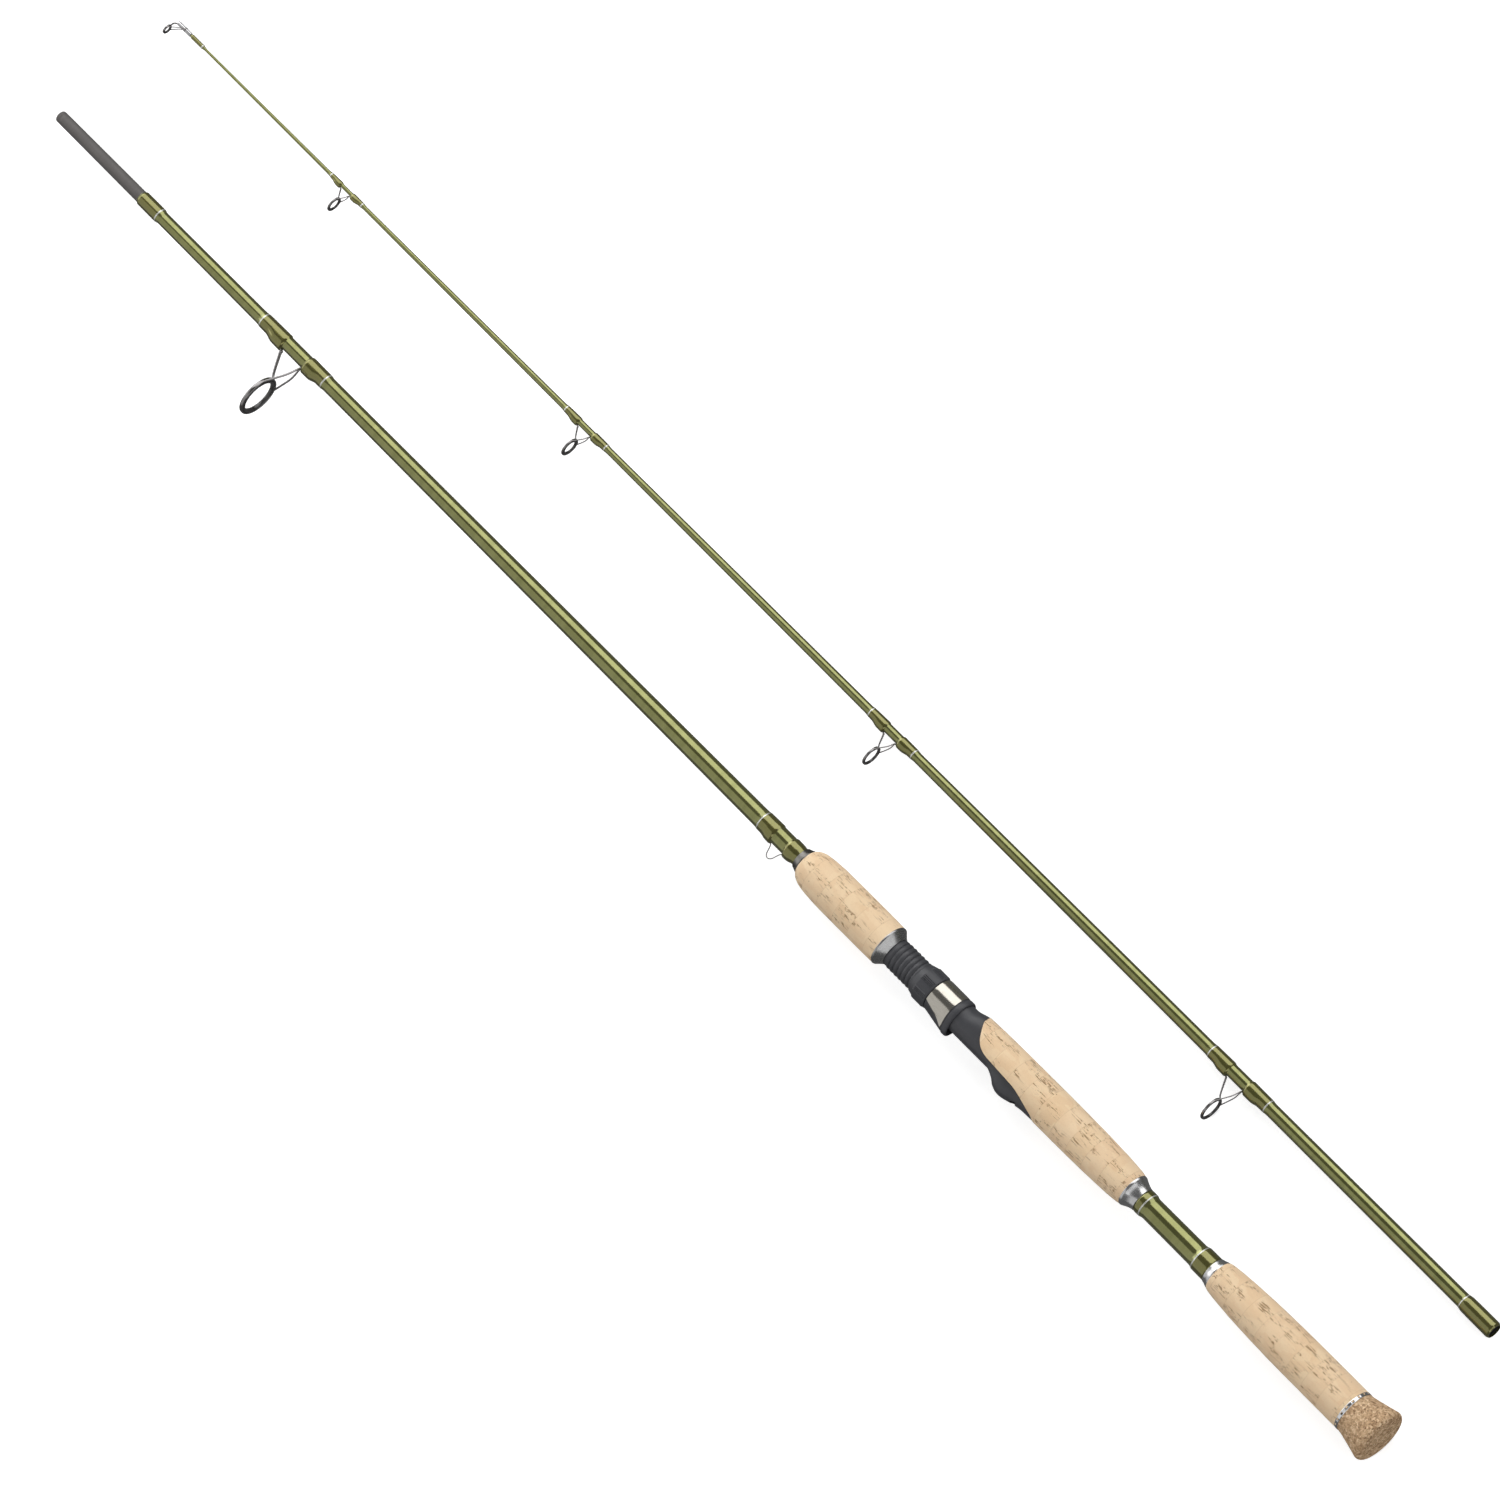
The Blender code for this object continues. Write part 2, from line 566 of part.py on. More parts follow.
def seat_radius(station, angle):
    """The smooth part of the seat, with the flat bed, the fixed hood and a raised back."""
    side = from_guide_side(angle)
    hood = ((262.0, 0.0), (266.0, 0.0), (268.0, 2.6), (277.0, 2.9), (284.0, 4.0), (290.5, 5.6),
            (293.2, FIXED_HOOD_REACH - SEAT_RADIUS), (296.5, 4.9), (300.5, 3.0), (304.5, 1.3), (308.5, 0.0))
    spread = interpolate(((262.0, 12.0), (268.0, 26.0), (277.0, 48.0), (288.0, 66.0)), station)
    rise = interpolate(hood, station)
    back = 2.0 * ease(side, 75, 150) * ease(-station, -335.8, -326.0)
    radius = SEAT_RADIUS + rise * (1 - ease(side, 0.1 * spread, spread))
    if station < 327.8:
        back = 0.0
    # the bed is flat, and goes on as the floor of both hoods' pockets
    if station >= BED_START and math.cos(angle) > 0 and BED_HEIGHT / math.cos(angle) < radius:
        radius = BED_HEIGHT / math.cos(angle)
    return radius + back


def seat_rings(margin, end):
    """Rings of the seat's smooth part, grown by a margin."""
    stations = [262.0, 266.0, 268.0, 272.0, 277.0, 284.0, 290.5, 293.2, 296.5, 300.5, 304.5, 308.5, 327.6,
                328.0, 332.0, 335.8, 351.0]
    return [(x, lambda angle, x=x: seat_radius(x, angle) + margin) for x in stations if x <= end]


def build_reel_seat(axis):
    rings = seat_rings(0.0, BARREL_START)
    count = round((THREAD_END - THREAD_START) / THREAD_PITCH * THREAD_STEPS)
    for step in range(count + 1):
        x = THREAD_START + (THREAD_END - THREAD_START) * step / count
        rings.append((x, lambda angle, x=x: barrel_radius(x, angle)))
    rings += [(393.3, 8.5), (SEAT_END, 8.5), (SEAT_END, SEAT_BORE), (SEAT_START, SEAT_BORE)]
    seat = add_body("reel_seat", lofted(rings, SEAT_SIDES), axis, "seat")
    boolean(seat, fixed_hood_pocket(axis), "DIFFERENCE")


def fixed_hood_pocket(axis):
    """The hollow in the fixed hood, arched over a flat floor, open towards the tip."""
    width, floor = POCKET_HALF_WIDTH, BED_HEIGHT
    arch = [(-width, floor), (width, floor), (width, 10.9), (4.0, 12.7), (1.8, 13.9), (-1.8, 13.9),
            (-4.0, 12.7), (-width, 10.9)]
    bm = bmesh.new()
    ends = []
    for x in (281.5, 312.0):
        ends.append([bm.verts.new((x, y, z)) for z, y in arch])
    for step in range(len(arch)):
        after = (step + 1) % len(arch)
        bm.faces.new((ends[0][step], ends[0][after], ends[1][after], ends[1][step]))
    bm.faces.new(list(reversed(ends[0])))
    bm.faces.new(ends[1])
    return add_body("fixed_hood_pocket", bm, axis, "seat")


def build_arbors(axis):
    """Two bushes centre the seat on the thinner blank."""
    for name, low, high in (("reel_seat_rear_arbor", 268.0, 290.0), ("reel_seat_front_arbor", 370.0, 392.0)):
        outer = [(low, SEAT_BORE - GAP - 0.05), (high, SEAT_BORE - GAP - 0.05)]
        bore = (butt_radius(low) + GAP, butt_radius(high) + GAP)
        add_body(name, turned(sleeve(outer, bore)), axis, "foam")


def build_locking_nut(axis):
    """A nut whose thread matches the barrel's. It pushes the moving hood."""
    outer = [(NUT_START, HOOD_RADIUS), (NUT_END - 2.6, HOOD_RADIUS), (NUT_END - 0.6, 9.85),
             (NUT_END, 9.6)]
    rings = list(outer)
    mean = THREAD_MEAN_RADIUS + NUT_GAP
    count = round((NUT_END - NUT_START) / THREAD_PITCH * THREAD_STEPS)
    for step in range(count + 1):
        x = NUT_END + (NUT_START - NUT_END) * step / count
        rings.append((x, lambda angle, x=x: mean + 0.5 * thread_wave(x, angle)))
    add_body("locking_nut", lofted(rings), axis, "seat")


def build_moving_hood(axis):
    """A sleeve that slides over the barrel. Its raised side holds the reel's foot."""
    bore = SEAT_RADIUS + SLIDE_GAP

    def raised(radius, lift, wide):
        return lambda angle: radius + lift * (1 - ease(from_guide_side(angle), 8, wide))

    reach = HOOD_REACH - HOOD_RADIUS
    plate = 0.55
    low, high = HOOD_START + 5.0, HOOD_END - 0.6
    waist = HOOD_RADIUS - plate - GAP
    outside = [
        (HOOD_START, raised(HOOD_RADIUS - 0.5, reach - 0.4, 85)),
        (HOOD_START + 0.8, raised(HOOD_RADIUS, reach, 85)),
        (low - 1.5, raised(HOOD_RADIUS, reach, 85)),
        (low - GAP, raised(HOOD_RADIUS, reach * 0.9, 85)),
        (low - GAP, raised(waist, reach * 0.9, 85)),
        (high + GAP, raised(waist, 0.15, 85)),
        (high + GAP, raised(HOOD_RADIUS, 0.0, 85)),
        (HOOD_END, HOOD_RADIUS),
    ]
    inside = [
        (HOOD_END, bore),
        (HOOD_END - 5.2, bore),
        (HOOD_END - 5.6, raised(bore, 1.6, 62)),
        (HOOD_START, raised(bore, 2.7, 62)),
    ]
    add_body("moving_hood", lofted(outside + inside), axis, "seat")
    band = [
        (low, raised(HOOD_RADIUS, reach * 0.88, 85)),
        (high, raised(HOOD_RADIUS, 0.15, 85)),
        (high, raised(HOOD_RADIUS - plate, 0.15, 85)),
        (low, raised(HOOD_RADIUS - plate, reach * 0.9, 85)),
    ]
    add_body("moving_hood_plate", lofted(band), axis, "silver")


def build():
    clear_scene()
    middle = BUTT_LENGTH / 2
    stripper, guide_4 = guide_parts("stripper_guide"), guide_parts("guide_4")
    reach = (stripper["offset"] + stripper["ring"]) * MM
    butt_y = (SECTION_SPACING + FERRULE_WRAP_RADIUS - reach) / 2
    butt_axis = empty("butt_section_axis", (-middle, butt_y, CAP_RADIUS))
    tip_place = (TIP_MOUTH_AHEAD - middle, butt_y - SECTION_SPACING, guide_4["ring"] * MM)
    tip_axis = empty("tip_section_axis", tip_place)
    carry_axis = empty("tip_section_carry_axis", tip_place)
    build_butt_blank(butt_axis)
    build_male_ferrule_plug(butt_axis)
    build_tip_blank(tip_axis)
    build_ferrule_pieces(butt_axis, tip_axis, carry_axis)
    for name in GUIDES:
        on_butt = guide_parts(name)["section"] == "butt"
        build_guide(name, butt_axis if on_butt else tip_axis, butt_radius if on_butt else tip_radius)
    build_tip_top(tip_axis)
    build_hook_keeper(butt_axis)
    build_fore_grip(butt_axis)
    build_rear_grip(butt_axis)
    build_split_grip(butt_axis)
    build_reel_seat(butt_axis)
    build_arbors(butt_axis)
    build_locking_nut(butt_axis)
    build_moving_hood(butt_axis)


build()
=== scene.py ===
"""Looks of a two-piece spinning rod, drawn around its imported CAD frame.

Stations and radii are in millimetres from each section's lower end: the butt cap's end face on the
butt section, and the ferrule's mouth on the tip section. Angles about a section are measured from
+Y, the side that the guides stand on.
"""
import math

import bmesh
import bpy
from mathutils import Matrix, Vector, noise


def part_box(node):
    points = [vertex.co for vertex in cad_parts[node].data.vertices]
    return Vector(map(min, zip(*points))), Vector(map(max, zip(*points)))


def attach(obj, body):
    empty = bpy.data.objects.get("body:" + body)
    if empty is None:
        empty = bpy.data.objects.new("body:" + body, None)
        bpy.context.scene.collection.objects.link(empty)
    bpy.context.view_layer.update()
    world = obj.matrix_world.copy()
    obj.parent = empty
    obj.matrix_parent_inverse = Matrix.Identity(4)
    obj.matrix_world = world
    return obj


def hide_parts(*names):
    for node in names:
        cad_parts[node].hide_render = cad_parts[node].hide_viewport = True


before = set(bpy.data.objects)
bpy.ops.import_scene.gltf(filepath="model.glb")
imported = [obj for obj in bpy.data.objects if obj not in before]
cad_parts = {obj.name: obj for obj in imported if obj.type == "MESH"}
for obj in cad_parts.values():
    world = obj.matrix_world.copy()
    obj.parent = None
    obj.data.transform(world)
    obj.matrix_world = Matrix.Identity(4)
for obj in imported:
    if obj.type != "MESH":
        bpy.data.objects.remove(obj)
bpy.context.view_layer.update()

MM = 0.001
TURN = 2 * math.pi
SIDES = 96
SMALL_SIDES = 48

BUTT, TIP = "butt_section", "tip_section"


def section_axis(blank, lowest):
    """Where station 0 of a section lies: on its blank's axis, at the lowest node's low end."""
    low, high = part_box(blank)
    return Vector((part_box(lowest)[0].x, (low.y + high.y) / 2, (low.z + high.z) / 2))


AXIS = {BUTT: section_axis("butt_blank", "butt_cap"), TIP: section_axis("tip_blank", "tip_blank")}
for body in ("moving_hood", "locking_nut"):
    AXIS[body] = AXIS[BUTT]
AXIS["tip_ferrule_band"] = AXIS[TIP]


# Shapes

def ease(value, low, high):
    """0 below low, 1 above high, and a smooth rise between."""
    t = min(max((value - low) / (high - low), 0.0), 1.0)
    return t * t * (3 - 2 * t)


def from_guide_side(angle):
    """Degrees between an angle about the rod and the guides' side, 0 to 180."""
    return abs(math.degrees((angle + math.pi) % TURN - math.pi))


def straight(outline, station):
    """Linear interpolation in (station, value) pairs."""
    for (x0, r0), (x1, r1) in zip(outline, outline[1:]):
        if station <= x1:
            return r0 + (r1 - r0) * (station - x0) / (x1 - x0)
    return outline[-1][1]


def curved(outline, station):
    """Interpolation on a smooth curve through (station, value) pairs."""
    last = len(outline) - 1
    if station <= outline[0][0]:
        return outline[0][1]
    if station >= outline[last][0]:
        return outline[last][1]
    index = next(i for i in range(last) if station <= outline[i + 1][0])

    def slope(i):
        if i in (0, last):
            near = 0 if i == 0 else last - 1
            return (outline[near + 1][1] - outline[near][1]) / (outline[near + 1][0] - outline[near][0])
        rises = [(outline[k + 1][1] - outline[k][1]) / (outline[k + 1][0] - outline[k][0])
                 for k in (i - 1, i)]
        if rises[0] * rises[1] <= 0:
            return 0.0
        return 2 * rises[0] * rises[1] / (rises[0] + rises[1])

    (x0, y0), (x1, y1) = outline[index], outline[index + 1]
    span = x1 - x0
    t = (station - x0) / span
    return ((1 + 2 * t) * (1 - t) ** 2 * y0 + t * (1 - t) ** 2 * span * slope(index)
            + t * t * (3 - 2 * t) * y1 + t * t * (t - 1) * span * slope(index + 1))


def smooth_path(points, steps):
    """A Catmull-Rom curve through points of any dimension."""
    points = [tuple(p) for p in points]
    ends = [points[0]] + points + [points[-1]]
    path = []
    for a, b, c, d in zip(ends, ends[1:], ends[2:], ends[3:]):
        for step in range(steps):
            t = step / steps
            path.append(tuple(
                0.5 * (2 * q + (r - p) * t + (2 * p - 5 * q + 4 * r - s) * t * t
                       + (3 * q - p - 3 * r + s) * t ** 3)
                for p, q, r, s in zip(a, b, c, d)))
    path.append(points[-1])
    return path


def rounded(outline, radius, steps):
    """A closed outline with its corners rounded, as (station, radius) points."""
    result = []
    for before, corner, after in zip(outline[-1:] + outline, outline, outline[1:] + outline[:1]):
        before, corner, after = Vector(before), Vector(corner), Vector(after)
        back, ahead = before - corner, after - corner
        cut = min(radius, 0.45 * back.length, 0.45 * ahead.length)
        start, end = corner + back.normalized() * cut, corner + ahead.normalized() * cut
        for step in range(steps + 1):
            t = step / steps
            result.append(tuple((1 - t) ** 2 * start + 2 * t * (1 - t) * corner + t * t * end))
    return result


def fill_between(outline, spacing):
    """The outline with points added so that none lie further apart than spacing."""
    result = [outline[0]]
    for (x0, r0), (x1, r1) in zip(outline, outline[1:]):
        count = max(1, math.ceil(math.hypot(x1 - x0, r1 - r0) / spacing))
        result += [(x0 + (x1 - x0) * k / count, r0 + (r1 - r0) * k / count) for k in range(1, count + 1)]
    return result


def skin(bm, loops, capped=False):
    """Faces between loops of vertices, each joined to the next, with or without the two end faces."""
    for near, far in zip(loops, loops[1:]):
        for step in range(len(near)):
            after = (step + 1) % len(near)
            bm.faces.new((near[step], near[after], far[after], far[step]))
    if capped:
        bm.faces.new(list(reversed(loops[0])))
        bm.faces.new(loops[-1])


def loft(rings, sides=SIDES, closed=True, centre=(0.0, 0.0)):
    """Rings of (station, radius), either of which may be a function of the angle, as a mesh.

    A closed loft joins its last ring to its first. An open one starts and ends on the axis.
    """
    bm = bmesh.new()
    loops = []
    for station, radius in rings:
        loop = []
        for step in range(sides):
            angle = TURN * step / sides
            x = station(angle) if callable(station) else station
            r = radius(angle) if callable(radius) else radius
            loop.append(bm.verts.new((x, centre[0] + r * math.cos(angle), centre[1] + r * math.sin(angle))))
        loops.append(loop)
    skin(bm, loops + loops[:1] if closed else loops)
    return bm


def sweep(points, widths, heights, sides=16, across=(0, 0, 1)):
    """A closed bar with elliptic sections along points. Widths lie towards across."""
    bm = bmesh.new()
    path = [Vector(p) for p in points]
    loops = []
    for index, centre in enumerate(path):
        before, after = path[max(index - 1, 0)], path[min(index + 1, len(path) - 1)]
        along = (after - before).normalized()
        side = Vector(across)
        side = (side - along * side.dot(along)).normalized()
        up = along.cross(side)
        loops.append([
            bm.verts.new(centre + side * widths[index] * math.cos(TURN * s / sides)
                         + up * heights[index] * math.sin(TURN * s / sides))
            for s in range(sides)
        ])
    skin(bm, loops, capped=True)
    return bm


def tapered_bar(points, widths, heights):
    """A bar on a smooth curve through points, with a width and a height for each point."""
    rows = smooth_path([(*p, w, h) for p, w, h in zip(points, widths, heights)], 6)
    return sweep([r[:3] for r in rows], [r[3] for r in rows], [r[4] for r in rows])


def joined(parts):
    """Several closed shells in one bmesh."""
    whole = bmesh.new()
    for part in parts:
        mesh = bpy.data.meshes.new("part")
        part.to_mesh(mesh)
        part.free()
        whole.from_mesh(mesh)
        bpy.data.meshes.remove(mesh)
    return whole


def placed(name, bm, place=(0.0, 0.0, 0.0)):
    """A bmesh as an object in the scene."""
    mesh = bpy.data.meshes.new(name)
    bm.to_mesh(mesh)
    bm.free()
    made = bpy.data.objects.new(name, mesh)
    made.location = place
    bpy.context.scene.collection.objects.link(made)
    return made


def piece(name, bm, body, finish, replaces=(), sharp=32):
    """A bmesh in millimetres about its section's axis as an object that rides on a body."""
    material, slot = FINISH[finish]
    bmesh.ops.scale(bm, vec=(MM, MM, MM), verts=bm.verts)
    bmesh.ops.remove_doubles(bm, verts=bm.verts, dist=1e-7)
    bmesh.ops.recalc_face_normals(bm, faces=bm.faces)
    made = placed(name, bm, AXIS[body])
    made.data.shade_smooth()
    made.data.set_sharp_from_angle(angle=math.radians(sharp))
    made.data.materials.append(material)
    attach(made, body)
    if replaces:
        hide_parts(*replaces)
    return made


# Materials

class Shader:
    """A material under construction, with short calls for the nodes that the finishes share."""

    def __init__(self, name, **settings):
        self.material = bpy.data.materials.new(name)
        self.material.use_nodes = True
        self.tree = self.material.node_tree
        self.surface = self.tree.nodes["Principled BSDF"]
        for socket, value in settings.items():
            self.surface.inputs[socket.replace("_", " ")].default_value = value
        place = self.node("ShaderNodeTexCoord")
        self.place = self.vector("SCALE", place.outputs["Object"], scale=1 / MM)

    def node(self, kind, sockets=None, **properties):
        """A new node, with its properties set and its input sockets fed, apart from those given None."""
        made = self.tree.nodes.new(kind)
        for key, value in properties.items():
            setattr(made, key, value)
        for key, value in (sockets or {}).items():
            if value is not None:
                self.feed(made.inputs[key], value)
        return made

    def feed(self, socket, value):
        if isinstance(value, bpy.types.NodeSocket):
            self.tree.links.new(value, socket)
        else:
            socket.default_value = value

    def vector(self, operation, first, second=None, scale=None):
        return self.node("ShaderNodeVectorMath", {0: first, 1: second, "Scale": scale},
                         operation=operation).outputs["Vector"]

    def math(self, operation, first, second=None, third=None):
        return self.node("ShaderNodeMath", {0: first, 1: second, 2: third}, operation=operation).outputs[0]

    def parts(self, vector):
        return self.node("ShaderNodeSeparateXYZ", {0: vector}).outputs

    def stretched(self, x, y, z):
        """The place in millimetres, with each axis scaled."""
        return self.vector("MULTIPLY", self.place, (x, y, z))

    def noise(self, place, scale=1.0, detail=2.0, distortion=0.0, roughness=0.5, output="Fac"):
        return self.node("ShaderNodeTexNoise", {
            "Vector": place, "Scale": scale, "Detail": detail, "Roughness": roughness,
            "Distortion": distortion}).outputs[output]

    def grain(self, x, y, z, detail=2.0, **settings):
        """Noise whose features are stretched to 1/x, 1/y and 1/z millimetres."""
        return self.noise(self.stretched(x, y, z), 1.0, detail, **settings)

    def warped(self, reach):
        """The place in millimetres, pushed about by up to half of reach."""
        push = self.vector("SUBTRACT", self.noise(self.place, 0.9, output="Color"), (0.5, 0.5, 0.5))
        return self.vector("ADD", self.place, self.vector("SCALE", push, scale=reach))

    def cells(self, place, scale=1.0, distance="EUCLIDEAN", output="Color", feature="F1"):
        return self.node("ShaderNodeTexVoronoi", {"Vector": place, "Scale": scale}, distance=distance,
                         feature=feature).outputs[output]

    def band(self, value, low, high):
        """0 at low, 1 at high, smooth between, whichever is greater."""
        return self.node("ShaderNodeMapRange", {"Value": value, "From Min": low, "From Max": high},
                         interpolation_type="SMOOTHSTEP").outputs["Result"]

    def plus(self, first, second):
        return self.math("ADD", first, second)

    def minus(self, first, second):
        return self.math("SUBTRACT", first, second)

    def times(self, first, second):
        return self.math("MULTIPLY", first, second)

    def spread(self, value, low, high):
        """A 0 to 1 value mapped to low to high."""
        return self.math("MULTIPLY_ADD", value, high - low, low)

    def mix(self, share, first, second):
        first, second = ((*value, 1.0) if isinstance(value, tuple) else value for value in (first, second))
        return self.node("ShaderNodeMix", {0: share, 6: first, 7: second}, data_type="RGBA").outputs[2]

    def ramp(self, value, *stops):
        made = self.node("ShaderNodeValToRGB", {"Fac": value})
        elements = made.color_ramp.elements
        while len(elements) < len(stops):
            elements.new(0.5)
        for element, (position, colour) in zip(elements, stops):
            element.position = position
            element.color = (*colour, 1.0)
        return made.outputs["Color"]

    def attribute(self, name):
        return self.node("ShaderNodeAttribute", attribute_name=name).outputs["Fac"]

    def threads(self, pitch):
        """0 to 1 across each turn of a wound thread, along the rod."""
        along = self.parts(self.place)[0]
        return self.math("PINGPONG", self.math("DIVIDE", along, pitch / 2), 1.0)

    def colour(self, value):
        self.feed(self.surface.inputs["Base Color"], value)

    def roughness(self, value):
        self.feed(self.surface.inputs["Roughness"], value)

    def bump(self, height, depth):
        """Height 0 to 1 as a relief of depth millimetres."""
        made = self.node("ShaderNodeBump", {"Strength": 1.0, "Distance": depth * MM, "Height": height})
        self.feed(self.surface.inputs["Normal"], made.outputs["Normal"])


PAINT = (0.245, 0.252, 0.074)
PAINT_DEEP = (0.200, 0.208, 0.052)
PAINT_FLAKE = (0.42, 0.43, 0.19)
THREAD_GOLD = (0.200, 0.192, 0.042)
# the next colour is painted shade, for the grooves between the thread's turns
THREAD_GROOVE_SHADE = (0.160, 0.152, 0.028)
THREAD_SHEEN = (0.27, 0.26, 0.085)


def paint_colour(shader):
    """Metallic paint: fine flakes, and the faint slanting bands of the tape below."""
    flakes = shader.cells(shader.place, 9.0)
    flake = shader.band(shader.parts(flakes)[0], 0.2, 1.0)
    tape = shader.grain(0.25, 0.05, 0.05, 1.0)
    base = shader.mix(shader.band(tape, 0.3, 0.7), PAINT_DEEP, PAINT)
    return shader.mix(shader.spread(flake, 0.0, 0.14), base, PAINT_FLAKE)


def blank_finish():
    shader = Shader("olive_blank", Metallic=0.85, Roughness=0.24, Coat_Weight=1.0, Coat_Roughness=0.045,
                    Coat_IOR=1.52)
    shader.colour(paint_colour(shader))
    shader.roughness(shader.spread(shader.noise(shader.place, 0.6, 3.0), 0.11, 0.16))
    shader.bump(shader.grain(0.12, 0.5, 0.5, 1.0), 0.003)
    return shader.material


def wrap_finish():
    """Wound thread under epoxy. Where the mesh says so, the epoxy lies on bare blank instead."""
    shader = Shader("wound_thread", Metallic=0.80, Roughness=0.17, Coat_Weight=1.0, Coat_Roughness=0.02,
                    Coat_IOR=1.55)
    turn = shader.threads(0.21)
    fibre = shader.grain(6.0, 1.2, 1.2, 2.0)
    # painted shade: each turn is darker towards the grooves between turns, following the bump's height
    gold = shader.mix(turn, THREAD_GROOVE_SHADE, THREAD_GOLD)
    gold = shader.mix(shader.spread(fibre, -0.1, 0.3), gold, THREAD_SHEEN)
    cover = shader.attribute("thread_cover")
    shader.colour(shader.mix(cover, paint_colour(shader), gold))
    shader.bump(shader.times(turn, cover), 0.0015)
    return shader.material


def silver_thread_finish():
    shader = Shader("silver_thread", Metallic=0.60, Roughness=0.25, Coat_Weight=1.0, Coat_Roughness=0.03)
    turn = shader.threads(0.30)
    # painted shade and painted highlight: each turn is dark in the grooves between turns and light on its
    # crest, following the bump's height
    shader.colour(shader.mix(turn, (0.42, 0.43, 0.40), (0.88, 0.88, 0.83)))
    shader.bump(turn, 0.01)
    return shader.material


def sanded_carbon_finish():
    """The ferrule, turned down and sanded: fine rings round it, a little lighter at the edges."""
    shader = Shader("sanded_carbon", Roughness=0.55)
    rings = shader.grain(5.0, 0.15, 0.15, 3.0, roughness=0.7)
    blotch = shader.grain(0.08, 0.3, 0.3, 2.0)
    base = shader.mix(blotch, (0.060, 0.054, 0.052), (0.110, 0.100, 0.096))
    shader.colour(shader.mix(shader.spread(rings, -0.2, 0.6), base, (0.17, 0.16, 0.155)))
    shader.roughness(shader.spread(rings, 0.45, 0.7))
    shader.bump(rings, 0.02)
    return shader.material


def cork_finish():
    """Glued cork rings: axial bark lines, pits, patches and faint seams."""
    shader = Shader("natural_cork", Roughness=0.82, Specular_IOR_Level=0.25, Sheen_Weight=0.15,
                    Sheen_Roughness=0.6)
    light, warm, brown = (0.91, 0.70, 0.455), (0.84, 0.60, 0.365), (0.30, 0.165, 0.070)
    along = shader.parts(shader.place)[0]
    ring = shader.math("DIVIDE", along, 12.7)
    ring_tone = shader.node("ShaderNodeTexWhiteNoise", {"W": shader.math("FLOOR", ring)},
                            noise_dimensions="1D").outputs["Value"]
    # each ring is cut from another piece of bark, so its pattern starts afresh
    shift = shader.node("ShaderNodeCombineXYZ", {1: shader.times(ring_tone, 90.0),
                                                 2: shader.times(ring_tone, 40.0)})
    place = shader.vector("ADD", shader.place, shift.outputs[0])

    def shifted(x, y, z):
        return shader.vector("MULTIPLY", place, (x, y, z))

    def shifted_noise(x, y, z, detail, **settings):
        return shader.noise(shifted(x, y, z), 1.0, detail, **settings)

    patches = shader.cells(shifted(0.10, 0.16, 0.16), 1.0, "CHEBYCHEV")
    soft = shifted_noise(0.10, 0.22, 0.22, 3.0)
    tone = shader.plus(shader.times(shader.parts(patches)[0], 0.35),
                       shader.times(soft, 0.65))
    base = shader.mix(shader.band(tone, 0.25, 0.80), light, warm)
    base = shader.mix(shader.spread(ring_tone, 0.0, 0.22), base, (0.91, 0.66, 0.45))

    fine = shifted_noise(1.4, 2.2, 2.2, 4.0, roughness=0.65)
    base = shader.mix(shader.spread(shader.band(fine, 0.45, 0.75), 0.0, 0.20), base, (0.52, 0.33, 0.17))

    where = shader.band(shifted_noise(0.055, 0.20, 0.20, 1.0), 0.47, 0.60)
    lines = shifted_noise(0.045, 0.62, 0.62, 2.0, distortion=0.25)
    line = shader.math("ABSOLUTE", shader.minus(lines, 0.5))
    line = shader.times(shader.band(line, 0.045, 0.012), where)
    broken = shader.band(shifted_noise(0.5, 0.5, 0.5, 2.0), 0.42, 0.56)
    line = shader.times(line, broken)

    streaks = shifted_noise(0.11, 1.45, 1.45, 1.0, distortion=0.3)
    streak = shader.times(shader.band(streaks, 0.625, 0.665), where)

    ticks = shifted_noise(1.6, 0.35, 0.35, 1.0)
    tick = shader.times(shader.band(ticks, 0.76, 0.82), where)
    pit_place = shifted(0.42, 0.42, 0.42)
    pits = shader.cells(pit_place, 1.0, output="Distance")
    chosen = shader.band(shader.parts(shader.cells(pit_place, 1.0))[1], 0.93, 0.95)
    pit = shader.times(shader.band(pits, 0.20, 0.10), chosen)

    mark = shader.math("MAXIMUM", shader.math("MAXIMUM", line, streak), shader.math("MAXIMUM", tick, pit))
    base = shader.mix(shader.spread(mark, 0.0, 0.85), base, brown)
    edge = shader.math("ABSOLUTE", shader.minus(shader.math("FRACT", ring), 0.5))
    seam = shader.band(edge, 0.478, 0.495)
    base = shader.mix(shader.spread(seam, 0.0, 0.30), base, (0.58, 0.38, 0.20))
    shader.colour(base)
    height = shader.minus(shader.times(fine, 0.35),
                         shader.plus(mark, shader.times(seam, 0.2)))
    shader.bump(height, 0.08)
    return shader.material


def burl_finish():
    """Pressed cork granules of several browns."""
    shader = Shader("burl_cork", Roughness=0.80, Specular_IOR_Level=0.25)
    bent = shader.warped(1.4)
    grain = shader.parts(shader.cells(bent, 0.85))[0]
    small = shader.parts(shader.cells(bent, 2.1))[1]
    tone = shader.plus(shader.times(grain, 0.6), shader.times(small, 0.4))
    base = shader.ramp(tone, (0.10, (0.215, 0.122, 0.062)), (0.30, (0.450, 0.280, 0.155)),
                       (0.50, (0.570, 0.375, 0.215)), (0.70, (0.690, 0.475, 0.285)),
                       (0.90, (0.880, 0.680, 0.450)))
    gap = shader.band(shader.cells(bent, 0.85, output="Distance", feature="DISTANCE_TO_EDGE"), 0.06, 0.0)
    shader.colour(shader.mix(shader.spread(gap, 0.0, 0.25), base, (0.17, 0.095, 0.05)))
    shader.bump(shader.minus(shader.times(tone, 0.5), gap), 0.05)
    return shader.material


